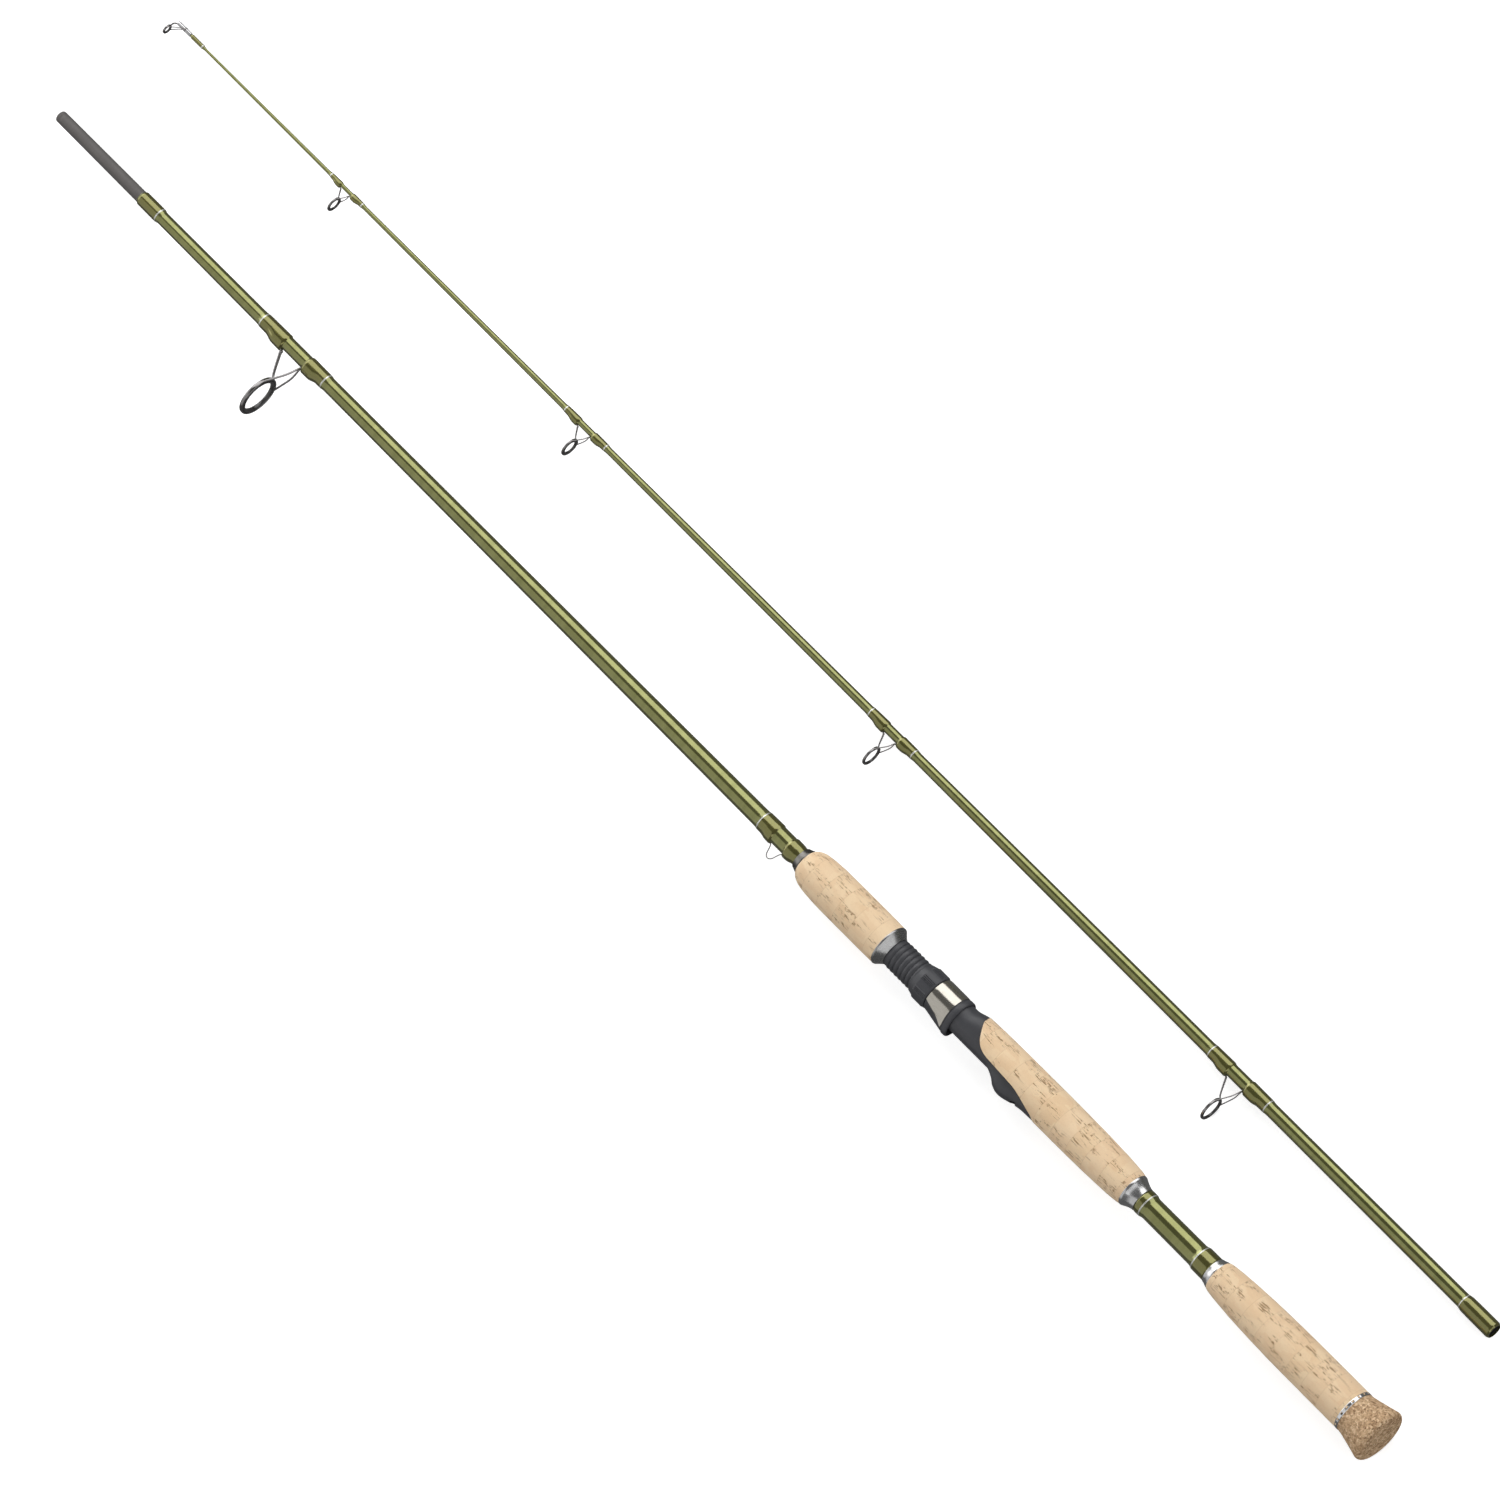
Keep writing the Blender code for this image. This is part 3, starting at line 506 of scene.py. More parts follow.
def moulding_finish():
    """Charcoal moulded plastic with a satin, faintly mottled skin."""
    shader = Shader("seat_moulding", Roughness=0.40, Specular_IOR_Level=0.45)
    mottle = shader.noise(shader.place, 0.35, 3.0)
    shader.colour(shader.mix(mottle, (0.041, 0.042, 0.048), (0.057, 0.058, 0.065)))
    grain = shader.noise(shader.place, 5.0, 2.0)
    shader.roughness(shader.spread(grain, 0.34, 0.50))
    shader.bump(grain, 0.012)
    return shader.material


def metal_finish(name, dark, light, smooth, rough, brushed=0.006):
    """Turned and polished metal: fine rings round it, and a slightly uneven gloss."""
    shader = Shader(name, Metallic=1.0)
    lines = shader.grain(14.0, 0.4, 0.4, 2.0)
    cloud = shader.grain(0.3, 0.5, 0.5, 3.0)
    shader.colour(shader.mix(cloud, dark, light))
    shader.roughness(shader.spread(lines, smooth, rough))
    shader.bump(lines, brushed)
    return shader.material


def ring_finish():
    """The butt ring's polished band with its dark engraved fields, marked on the mesh."""
    shader = Shader("chequered_ring", Metallic=1.0, Roughness=0.12)
    cut = shader.attribute("engraved")
    cloud = shader.noise(shader.place, 0.6, 2.0)
    bright = shader.mix(cloud, (0.74, 0.74, 0.75), (0.92, 0.92, 0.92))
    shader.colour(shader.mix(cut, bright, (0.060, 0.058, 0.060)))
    shader.roughness(shader.spread(cut, 0.10, 0.45))
    return shader.material


def ceramic_finish():
    shader = Shader("guide_ceramic", Roughness=0.08, Coat_Weight=0.6, Coat_Roughness=0.03)
    cloud = shader.noise(shader.place, 0.8, 2.0)
    shader.colour(shader.mix(cloud, (0.018, 0.017, 0.018), (0.040, 0.038, 0.038)))
    shader.roughness(shader.spread(cloud, 0.06, 0.12))
    return shader.material


def socket_finish():
    """The dark inside of the ferrule: bare carbon with the marks of its mandrel."""
    shader = Shader("socket_carbon", Roughness=0.5)
    rings = shader.grain(3.0, 0.2, 0.2, 2.0)
    shader.colour(shader.mix(rings, (0.012, 0.012, 0.012), (0.035, 0.033, 0.032)))
    shader.bump(rings, 0.02)
    return shader.material


# each finish is a material and the record's slot that it stands for
FINISH = {
    "blank": (blank_finish(), "blank"),
    "wrap": (wrap_finish(), "wrap"),
    "silver_thread": (silver_thread_finish(), "thread_trim"),
    "carbon": (sanded_carbon_finish(), "bare_carbon"),
    "socket": (socket_finish(), "bare_carbon"),
    "cork": (cork_finish(), "cork"),
    "burl": (burl_finish(), "burl_cork"),
    "moulding": (moulding_finish(), "seat"),
    "ceramic": (ceramic_finish(), "ceramic"),
    "ring": (ring_finish(), "polished_metal"),
}
for key, slot, name, dark, light, gloss in (
        ("gunmetal", "gunmetal", "gunmetal", (0.34, 0.34, 0.34), (0.44, 0.44, 0.44), (0.20, 0.32)),
        ("dark_metal", "gunmetal", "dark_anodised", (0.11, 0.105, 0.10), (0.17, 0.165, 0.155),
         (0.24, 0.34)),
        ("silver", "polished_metal", "polished_silver", (0.54, 0.54, 0.545), (0.66, 0.66, 0.665),
         (0.20, 0.28)),
        ("nickel", "polished_metal", "polished_nickel", (0.50, 0.475, 0.42), (0.60, 0.57, 0.505),
         (0.12, 0.18, 0.002)),
        ("dark_chrome", "dark_chrome", "dark_chrome", (0.20, 0.19, 0.19), (0.33, 0.32, 0.32),
         (0.10, 0.20, 0.003))):
    FINISH[key] = (metal_finish(name, dark, light, *gloss), slot)


# Blanks and ferrules

TIP_TAPER = ((0.0, 4.60), (283.0, 3.72), (575.0, 2.55), (814.0, 1.68), (1092.0, 0.72))
FERRULE_START = 1030.5


def butt_radius(station):
    return 7.60 - 0.00363 * station


def tip_radius(station):
    return curved(TIP_TAPER, station)


RADIUS_AT = {BUTT: butt_radius, TIP: tip_radius}


def blank_outline(radius_at, start, end, spacing=12.0):
    count = math.ceil((end - start) / spacing)
    return [(start + (end - start) * k / count, radius_at(start + (end - start) * k / count))
            for k in range(count + 1)]


def build_blanks():
    outline = blank_outline(butt_radius, 12.0, FERRULE_START)
    bore = [(FERRULE_START, 2.9), (12.0, butt_radius(12.0) - 0.9)]
    piece("butt_blank_painted", loft(outline + bore), BUTT, "blank", ["butt_blank"])

    end = 1101.8
    ferrule = [(FERRULE_START - 0.6, 0.0), (FERRULE_START - 0.6, 3.75), (FERRULE_START + 0.2, 3.83)]
    ferrule += [(FERRULE_START + k * 6.0, 3.85 - 0.0125 * k) for k in range(1, 12)]
    ferrule += [(end - 3.2, 3.70), (end - 3.05, 3.62), (end - 2.9, 3.68)]
    ferrule += [(end - 1.6 + 1.6 * math.sin(a * math.pi / 16), 2.1 + 1.58 * math.cos(a * math.pi / 16))
                for a in range(9)]
    ferrule += [(end, 0.0)]
    piece("male_ferrule", loft(ferrule, closed=False), BUTT, "carbon",
          ["male_ferrule_plug"])

    outline = blank_outline(tip_radius, 0.0, 1092.0)
    bore = [(1092.0, 0.3), (80.0, 3.2), (72.0, 3.86), (0.4, 4.02)]
    piece("tip_blank_painted", loft(outline + bore), TIP, "blank", ["tip_blank"])
    lining = loft([(71.8, 0.0), (71.8, 3.87), (0.6, 4.03), (0.25, 3.95), (71.0, 3.78), (71.0, 0.0)],
                  closed=False)
    piece("ferrule_socket_lining", lining, TIP, "socket")


# Thread wraps

TRIM_WIDTH = 0.80
EPOXY_RUN = 2.6


def wrap_piece(name, body, low, high, height_at, thread_low, thread_high, replaces, radius_at=None):
    """A wrap from low to high whose thread lies between two stations and whose rest is clear epoxy.

    height_at(station, angle) is the surface's height above the blank.
    """
    radius_at = radius_at or RADIUS_AT[body]
    count = max(14, math.ceil((high - low) / 0.5))
    stations = {low + (high - low) * k / count for k in range(count + 1)}
    for end in (thread_low, thread_high):
        stations |= {x for x in (end - 0.04, end + 0.04) if low < x < high}
    stations = sorted(stations)
    rings = [(x, lambda angle, x=x: radius_at(x) + height_at(x, angle)) for x in stations]
    inside = [(high, radius_at(high) - 0.05), (low, radius_at(low) - 0.05)]
    made = piece(name, loft(rings + inside, SMALL_SIDES if body == TIP else SIDES), body, "wrap",
                 replaces, sharp=50)
    cover = made.data.attributes.new("thread_cover", "FLOAT", "POINT")
    cover.data.foreach_set("value", [
        1.0 if thread_low < vertex.co.x / MM < thread_high else 0.0 for vertex in made.data.vertices])
    return made


def trim_ring(name, body, station, height_at, replaces=(), ride_on=None):
    """Four turns of silver thread, just proud of the wrap they close."""
    radius_at = RADIUS_AT[body]
    half = TRIM_WIDTH / 2
    stations = [station - half + TRIM_WIDTH * k / 16 for k in range(17)]
    rings = []
    for x in stations:
        ridge = 0.035 * abs(math.sin(TURN * 2 * (x - stations[0]) / TRIM_WIDTH))
        rings.append((x, lambda angle, x=x, ridge=ridge:
                      radius_at(x) + max(height_at(x, angle), 0.08) + 0.02 + ridge))
    inside = [(stations[-1], lambda angle: radius_at(station) - 0.1),
              (stations[0], lambda angle: radius_at(station) - 0.1)]
    return piece(name, loft(rings + inside, SMALL_SIDES if body == TIP else SIDES), ride_on or body,
                 "silver_thread", replaces, sharp=60)


def plain_height(low, high, wall, run_low, run_high):
    """The height of a plain wrap: its wall, feathered out over a run at each end."""
    def height(station, angle):
        return wall * min(ease(station, low, low + run_low), ease(-station, -high, -high + run_high)) + 0.02
    return height


def foot_height(near, far, foot_end, wall, tall):
    """The height of a wrap over a guide's foot, which bulges on the guide's side."""
    way = 1 if far > near else -1

    def height(station, angle):
        from_near = way * (station - near)
        from_far = way * (far - station)
        length = way * (far - near)
        body = 0.72 * wall + 0.5 * wall * (1 - from_near / length)
        ends = min(ease(from_far, 0.0, EPOXY_RUN + 1.2), ease(from_near, -0.1, 1.3))
        reach = way * (foot_end - near)
        crown = tall * (1 - ease(from_near, 0.62 * reach, reach + 2.2)) * ease(from_near, -0.2, 0.9)
        return body * ends + crown * (1 - ease(from_guide_side(angle), 14, 98)) + 0.02
    return height


def foot_binding(name, body, near, trim, foot_end, wall, tall, run=EPOXY_RUN, trim_name=None):
    """A wrap over a foot from near to a run of epoxy past its trim, and the trim where there is a run."""
    way = 1 if trim > near else -1
    far = trim + way * run
    height = foot_height(near, far, foot_end, wall, tall)
    thread = sorted((near - way, trim if run else trim + way))
    wrap_piece(name + "_binding", body, *sorted((near, far)), height, *thread, [name + "_wrap"])
    if run:
        trim_ring(trim_name or name + "_trim", body, trim, height)


def build_ferrule_wraps():
    low, high = 1012.0, FERRULE_START - 0.1
    height = plain_height(low, high, 0.62, 3.4, 1.0)
    wrap_piece("butt_ferrule_binding", BUTT, low, high, height, 1014.6, high - 0.3, ["butt_ferrule_wrap"])
    trim_ring("butt_ferrule_trim", BUTT, 1014.6, height)

    lip, high = -0.6, 25.2
    band = 23.1

    def height(station, angle):
        return (0.68 * ease(station, -0.9, 1.0) * ease(-station, -high, -high + 4.6) + 0.02
                - 0.1 * ease(station, 14.0, 22.0))

    def radius_at(station):
        return tip_radius(max(station, 0.0))

    made = wrap_piece("tip_ferrule_binding", TIP, lip, high, height, lip - 1, band, ["tip_ferrule_wrap"],
                      radius_at)
    # the epoxy turns in over the blank's end, and leaves the socket open
    for vertex in made.data.vertices:
        x, y, z = vertex.co / MM
        if math.hypot(y, z) < tip_radius(0.0) + 0.001 and x < 0.0:
            scale = 4.12 / math.hypot(y, z)
            vertex.co = Vector((lip * MM, vertex.co.y * scale, vertex.co.z * scale))
    trim_ring("tip_ferrule_silver", TIP, band, height, ["tip_ferrule_trim"], "tip_ferrule_band")


def build_plain_wraps():
    for name, low, high, wall, trim, run_low, run_high, node in (
            ("split_grip_front_binding", 184.4, 191.5, 0.70, 186.9, 3.4, 0.8, "split_front_wrap"),
            ("split_grip_rear_binding", 134.7, 147.0, 0.75, 144.4, 0.8, 3.4, "split_rear_wrap")):
        height = plain_height(low, high, wall, run_low, run_high)
        thread = (trim, high) if run_low > run_high else (low, trim)
        wrap_piece(name, BUTT, low, high, height, *thread, [node])
        trim_ring(name.replace("binding", "trim"), BUTT, trim, height)
    low, high, trim = 1069.6, 1082.3, 1072.2
    height = plain_height(low, high, 0.50, 3.2, 0.8)
    wrap_piece("tip_top_binding", TIP, low, high, height, trim, high, ["tip_top_wrap"])
    trim_ring("tip_top_trim", TIP, trim, height)


# Guides: body, ring station, ring offset, ring radius, hole radius, front root, rear root, bar radius,
# front and rear trim
GUIDES = {
    "stripper_guide": (BUTT, 895.0, 32.4, 13.05, 9.75, 904.0, 888.0, 0.80, 924.2, 871.4),
    "guide_4": (TIP, 202.9, 22.7, 7.60, 5.95, 209.6, 197.2, 0.50, 225.4, 180.3),
    "guide_3": (TIP, 487.1, 17.1, 6.45, 4.80, 491.2, 481.9, 0.46, 504.8, 469.5),
    "guide_2": (TIP, 743.0, 13.9, 6.00, 3.75, 748.3, 738.6, 0.42, 760.3, 727.0),
    "guide_1": (TIP, 947.4, 10.6, 4.86, 3.05, 951.2, 944.2, 0.38, 960.8, 934.6),
}


def hoop_outline(station, inner, outer, half, steps=20, power=0.8):
    """A rounded section between two radii, as a loop of (station, radius) points."""
    middle, thick = (inner + outer) / 2, (outer - inner) / 2
    points = []
    for step in range(steps):
        a = TURN * step / steps
        c, s = math.cos(a), math.sin(a)
        points.append((station + half * math.copysign(abs(c) ** power, c),
                       middle + thick * math.copysign(abs(s) ** power, s)))
    return points


def on_hoop(offset, radius, degrees):
    """The (y, z) place on a hoop's circle at an angle from its lowest point."""
    lean = math.radians(degrees)
    return offset - radius * math.cos(lean), radius * math.sin(lean)


def build_guide(name):
    body, x, offset, ring, hole, front, rear, bar, front_trim, rear_trim = GUIDES[name]
    radius_at = RADIUS_AT[body]
    insert = hole + 0.60 * (ring - hole)
    middle = (insert + ring) / 2
    thick = 1.35 * bar
    wall = 0.30 + 0.22 * bar

    def on_foot(station):
        return radius_at(station) + 0.1 + thick / 2

    shells = [loft(hoop_outline(x, insert - 0.05, ring, 1.45 * bar), SIDES, centre=(offset, 0.0))]
    top = offset - middle
    front_foot = front + 0.62 * (front_trim - front)
    strut = [(front_foot, on_foot(front_foot) - thick * 0.3, 0), (front + 2.5, on_foot(front + 2.5), 0),
             (front + 0.9, on_foot(front + 0.9) + 0.1 * thick, 0),
             (front - 0.1, on_foot(front) + thick * 0.75, 0),
             (front - 0.55 - 0.1 * bar, on_foot(front) + thick * 0.75 + 2.0 * bar, 0),
             (x + 0.30 * (front - x), top - 0.17 * (top - 5), 0),
             (x + 0.1 * bar, top + 0.2 * bar, 0)]
    wide = [1.3 * bar, 2.0 * bar, 2.1 * bar, 1.8 * bar, 1.35 * bar, 0.95 * bar, 1.15 * bar]
    high = [0.2 * thick, 0.45 * thick, 0.6 * thick, 0.9 * thick, 0.85 * thick, 0.95 * bar, 0.95 * bar]
    shells.append(tapered_bar(strut, wide, high))
    rear_foot = rear - 0.62 * (rear - rear_trim)
    foot = [(rear_foot, on_foot(rear_foot) - thick * 0.3, 0), (rear - 2.0, on_foot(rear - 2.0), 0),
            (rear - 0.4, on_foot(rear) + 0.05 * thick, 0),
            (rear + 0.9 * bar, on_foot(rear) + 0.25 * thick, 0)]
    wide = [1.3 * bar, 2.0 * bar, 1.9 * bar, 1.3 * bar]
    high = [0.2 * thick, 0.45 * thick, 0.45 * thick, 0.3 * thick]
    shells.append(tapered_bar(foot, wide, high))
    for side in (1, -1):
        start = (rear - 0.3 * bar, on_foot(rear) + 0.05 * thick, side * 0.7 * bar)
        leg = [start, (rear + 0.8 * bar, start[1] + 0.5 * bar, side * 0.9 * bar)]
        end = (x - 0.25 * bar, *on_hoop(offset, middle, side * 52))
        for share in (0.33, 0.68):
            leg.append((rear + (x - rear) * share ** 1.25, start[1] + (end[1] - start[1]) * share ** 0.92,
                        side * (0.9 * bar + (abs(end[2]) - 0.9 * bar) * share ** 0.85)))
        leg += [end, (x, *on_hoop(offset, middle, side * 62)), (x, *on_hoop(offset, middle, side * 74))]
        path = smooth_path(leg, 6)
        thin = [0.75 * bar * (1 - 0.35 * ease(k / len(path), 0.8, 1.0)) for k in range(len(path))]
        shells.append(sweep(path, thin, thin, 14))
    piece(name + "_hoop_and_legs", joined(shells), body, "dark_chrome",
          [name + "_frame"], sharp=50)

    outline = hoop_outline(x, hole, insert, 1.60 * bar, 28, 0.8)
    piece(name + "_insert", loft(outline, SIDES, centre=(offset, 0.0)), body, "ceramic",
          [name + "_ring"], sharp=50)

    for label, near, trim, foot_end in (("front", front + 0.6, front_trim, front_foot),
                                        ("rear", rear - 0.6, rear_trim, rear_foot)):
        foot_binding(f"{name}_{label}", body, near, trim, foot_end, wall, thick + 0.25)


def build_tip_top():
    tube_start, tube_end = 1082.5, 1093.6
    x, offset, ring, hole = 1095.6, 7.0, 3.15, 1.9
    insert = hole + 0.6 * (ring - hole)
    middle = (ring + insert) / 2
    outer = tip_radius(tube_start) + 0.50
    tube = [(tube_start, 0.0), (tube_start, outer - 0.12), (tube_start + 0.15, outer),
            (tube_end - 3.0, outer)]
    tube += [(tube_end - 0.9 + 0.9 * math.sin(a), outer - 0.35 + 0.33 * math.cos(a))
             for a in (step * math.pi / 12 for step in range(7))]
    tube += [(tube_end, 0.0)]
    piece("tip_top_tube", loft(tube, SMALL_SIDES, closed=False), TIP, "silver", sharp=50)
    shells = [loft(hoop_outline(x, insert - 0.05, ring, 0.62), SMALL_SIDES, centre=(offset, 0.0))]
    neck = smooth_path([(tube_end - 1.6, 0.0, 0), (tube_end - 0.2, 0.7, 0), (x - 0.5, 2.0, 0),
                        (x - 0.05, 3.2, 0), (x, offset - middle, 0)], 6)
    shells.append(sweep(neck, [0.55] * len(neck), [0.50] * len(neck)))
    for side in (1, -1):
        brace = smooth_path([
            (tube_start + 4.6, 0.0, side * (outer + 0.05)), (tube_start + 5.8, 0.5, side * (outer + 0.15)),
            (tube_start + 8.6, 2.3, side * 1.75), (x - 1.5, 5.0, side * 2.45),
            (x - 0.1, *on_hoop(offset, middle, side * 80)), (x, offset, side * middle)], 6)
        shells.append(sweep(brace, [0.30] * len(brace), [0.30] * len(brace), 12))
    bead = smooth_path([(tube_start + 4.0, 0.0, 0.0), (tube_start + 5.4, 0.0, 0.0)], 6)
    swell = [outer + 0.16 * math.sin(math.pi * k / (len(bead) - 1)) for k in range(len(bead))]
    shells.append(sweep(bead, swell, swell, 24))
    piece("tip_top_hoop_and_braces", joined(shells), TIP, "dark_chrome", ["tip_top_frame"],
          sharp=50)
    outline = hoop_outline(x, hole, insert, 0.62, 24, 0.9)
    piece("tip_top_insert", loft(outline, SMALL_SIDES, centre=(offset, 0.0)), TIP, "ceramic",
          ["tip_top_ring"], sharp=50)


def build_hook_keeper():
    wire, front, rear = 0.30, 489.6, 481.4

    def lie(station):
        return butt_radius(station) + 0.15 + wire

    low = lie(front)
    middle = (front + rear) / 2
    loop = [(front + 7.0, lie(front + 7.0), 0), (front + 1.0, low, 0), (front - 0.4, low + 1.2, 0),
            (front - 1.6, low + 4.6, 0), (front - 2.6, low + 6.2, 0), (middle, low + 6.85, 0),
            (rear + 2.6, low + 6.2, 0), (rear + 1.6, low + 4.6, 0), (rear + 0.4, low + 1.2, 0),
            (rear - 1.0, lie(rear), 0), (rear - 6.0, lie(rear - 6.0), 0)]
    path = smooth_path(loop, 8)
    piece("hook_keeper_wire", sweep(path, [wire] * len(path), [wire] * len(path)), BUTT, "dark_chrome",
          ["hook_keeper"], sharp=60)
    foot_binding("hook_keeper_front", BUTT, front + 0.7, 501.9, front + 7.0, 0.42, 2 * wire + 0.12,
                 trim_name="hook_keeper_trim")
    foot_binding("hook_keeper_rear", BUTT, rear - 0.7, 471.6, rear - 6.0, 0.42, 2 * wire + 0.12, run=0.0)


# Grips and trims

CORK_RELIEF = 0.09


def cork_relief(bm):
    """Uneven sanding: moves each point of the surface in or out a little."""
    for vertex in bm.verts:
        radial = Vector((0, vertex.co.y, vertex.co.z))
        if radial.length < 8.6:
            continue
        broad = noise.noise(vertex.co * 0.16)
        fine = noise.noise(vertex.co * 0.9)
        vertex.co += radial.normalized() * CORK_RELIEF * (0.7 * broad + 0.3 * fine - 0.5)


def blank_bore(outline):
    """The bore that closes an outline of a piece on the butt blank."""
    return [(station, butt_radius(station) - 0.05) for station in (outline[-1][0], outline[0][0])]


def grip(name, outline, node):
    """A turned cork grip, with its skin in steps short enough for the relief."""
    surface = fill_between(smooth_path(outline, 8), 0.8)
    bm = loft(surface + blank_bore(surface))
    cork_relief(bm)
    piece(name, bm, BUTT, "cork", [node], sharp=50)


def turned_trim(name, outline, finish, node, soft):
    """A turned metal sleeve with soft corners. The outline's bore follows the blank."""
    loop = outline + blank_bore(outline)
    piece(name, loft(rounded(loop, soft, 5)), BUTT, finish, [node], sharp=45)


def build_grips():
    grip("fore_grip_cork", [(399.4, 12.9), (405.0, 13.0), (412.0, 13.05), (431.0, 13.05), (446.0, 12.95),
                            (451.0, 12.7), (455.7, 12.4), (460.4, 11.8), (462.8, 11.15), (464.9, 10.2),
                            (466.3, 9.1), (467.0, 8.3)], "fore_grip")
    grip("butt_grip_cork", [(23.1, 12.95), (24.0, 13.05), (50.0, 13.05), (75.0, 12.9), (95.0, 12.4),
                            (110.0, 11.7), (122.0, 10.8), (127.5, 10.2), (129.6, 9.75), (130.3, 9.3)],
         "butt_grip")
    turned_trim("winding_check_sleeve",
                [(466.9, 8.05), (467.8, 8.05), (468.8, 7.6), (470.2, 7.1), (471.3, 6.75)],
                "dark_metal", "winding_check", 0.2)
    collar = smooth_path([(393.6, 9.0), (395.0, 9.9), (396.6, 11.2), (397.9, 12.35)], 5)
    collar += [(398.3, 12.75), (398.8, 12.95), (399.4, 12.9)]
    loop = collar + [(399.4, 8.4), (393.6, 8.4)]
    piece("fore_grip_cone", loft(rounded(loop, 0.12, 3)), BUTT, "gunmetal",
          ["fore_grip_collar"], sharp=45)
    rear = smooth_path([(191.4, 7.6), (193.5, 7.95), (196.0, 8.85), (198.4, 10.05), (199.2, 10.3)], 5)
    turned_trim("rear_grip_silver_cone", rear + [(199.9, 10.3)], "silver", "rear_grip_cone", 0.12)
    cone = smooth_path([(130.9, 9.3), (132.0, 8.95), (133.2, 8.5), (134.8, 8.15)], 5)
    turned_trim("butt_grip_silver_cone", [(130.2, 9.35)] + cone, "silver", "butt_grip_cone", 0.12)


SCALLOP = ((0, 267.6), (24, 269.4), (40, 275.1), (52, 282.0), (58, 287.5), (61, 298.0), (63.5, 309.0),
           (67, 313.2), (76, 317.0), (100, 321.3), (140, 326.0), (180, 327.2))


def scallop_edge(angle):
    """Front edge of the rear grip, round the window that shows the seat."""
    return curved(SCALLOP, from_guide_side(angle))


def build_rear_grip():
    shape = [(199.8, 10.3), (203.0, 10.9), (215.0, 11.7), (238.0, 12.3), (262.0, 12.45), (300.0, 12.3),
             (316.0, 12.05), (328.0, 11.6)]
    start, step, sides = 199.8, 262.0, 192

    def surface(station):
        return lambda angle: curved(shape, station(angle) if callable(station) else station)

    plain = 78
    rings = [(start + (step - start) * k / plain, curved(shape, start + (step - start) * k / plain))
             for k in range(plain)]
    shares = 80
    for k in range(shares + 1):
        def station(angle, share=k / shares):
            edge = scallop_edge(angle) - 0.35
            return step + (edge - step) * share
        rings.append((station, surface(station)))
    for inset, back in ((0.12, 0.08), (0.32, 0.35)):
        rings.append((lambda angle, back=back: scallop_edge(angle) - 0.35 + back,
                      lambda angle, inset=inset: curved(shape, scallop_edge(angle)) - inset))
    rings.append((lambda angle: scallop_edge(angle), lambda angle: 8.2))
    rings += [(step, 8.0), (start, butt_radius(start) - 0.05)]
    bm = loft(rings, sides)
    cork_relief(bm)
    piece("rear_grip_cork", bm, BUTT, "cork", ["rear_grip"], sharp=50)


def build_butt_end():
    profile = [(20.9, 12.85), (17.0, 13.55), (11.0, 14.95), (6.5, 16.10), (4.4, 16.65), (3.0, 16.95),
               (1.8, 16.80), (0.8, 16.1), (0.2, 15.0), (0.0, 13.5)]
    surface = fill_between(smooth_path(profile, 6), 0.6)
    face = [(0.0, 13.5 * (1 - k / 14)) for k in range(1, 15)]
    bm = loft([(20.9, 0.0), (20.9, 12.0)] + surface + face, closed=False)
    for vertex in bm.verts:
        radial = Vector((0, vertex.co.y, vertex.co.z))
        if radial.length > 1.0 and 1.0 < vertex.co.x < 20.5:
            vertex.co -= radial.normalized() * 0.06 * (0.5 + noise.noise(vertex.co * 0.8))
    piece("butt_cap_burl", bm, BUTT, "burl", ["butt_cap"], sharp=50)

    fields, depth = 18, 0.16
    sides = fields * 12

    def radius(station, angle):
        share = (angle / TURN * fields) % 1.0
        cut = ease(share, 0.10, 0.16) * ease(-share, -0.50, -0.44)
        return 13.12 - depth * cut * ease(station, 21.35, 21.5) * ease(-station, -22.85, -22.7)

    stations = [21.0, 21.1, 21.3, 21.35, 21.45, 21.5, 22.1, 22.7, 22.75, 22.85, 22.9, 23.1, 23.2]
    rings = []
    for x in stations:
        soft = 0.2 * (1 - ease(x, 20.9, 21.25) * ease(-x, -23.3, -22.95))
        rings.append((x, lambda angle, x=x, soft=soft: radius(x, angle) - soft))
    rings += [(23.2, 12.0), (21.0, 12.0)]
    made = piece("butt_ring_chequered", loft(rings, sides), BUTT, "ring", ["butt_ring"],
                 sharp=30)
    cut = made.data.attributes.new("engraved", "FLOAT", "POINT")
    cut.data.foreach_set("value", [
        1.0 if math.hypot(v.co.y, v.co.z) / MM < 13.12 - 0.6 * depth and 21.3 < v.co.x / MM < 22.9 else 0.0
        for v in made.data.vertices])


# Reel seat, nut and moving hood

SEAT_RADIUS = 9.5
SEAT_BORE = 7.3
SEAT_REAR, SEAT_FRONT = 262.0, 399.0
BED_HEIGHT = 9.1            # of the flat that a reel's foot rests on
BED_EDGE = (306.0, 309.5)   # the flat fades in between these stations
BACK_RISE = 2.0             # the seat's back stands higher under the rear grip's window
BACK_EDGE = (326.0, 335.8)
THREAD_PITCH = 3.1
THREAD_MEAN = 8.90
THREAD_DEPTH = 0.40
BARREL = (353.0, 393.0)
NUT = (359.2, 372.6)
HOOD = (338.8, 359.0)
HOOD_RADIUS = 10.75
HOOD_REACH = 13.4


def hull_radius(angle, radius, reach, nose):
    """A round section of one radius with a smaller round nose towards +Y, and flats between."""
    shift = reach - nose
    if shift <= radius - nose + 1e-6:
        return radius
    angle = abs((angle + math.pi) % TURN - math.pi)
    touch = math.acos((radius - nose) / shift)
    if angle >= touch:
        return radius
    nose_end = math.atan2(nose * math.sin(touch), shift + nose * math.cos(touch))
    if angle > nose_end:
        return radius / math.cos(touch - angle)
    return shift * math.cos(angle) + math.sqrt(nose ** 2 - (shift * math.sin(angle)) ** 2)


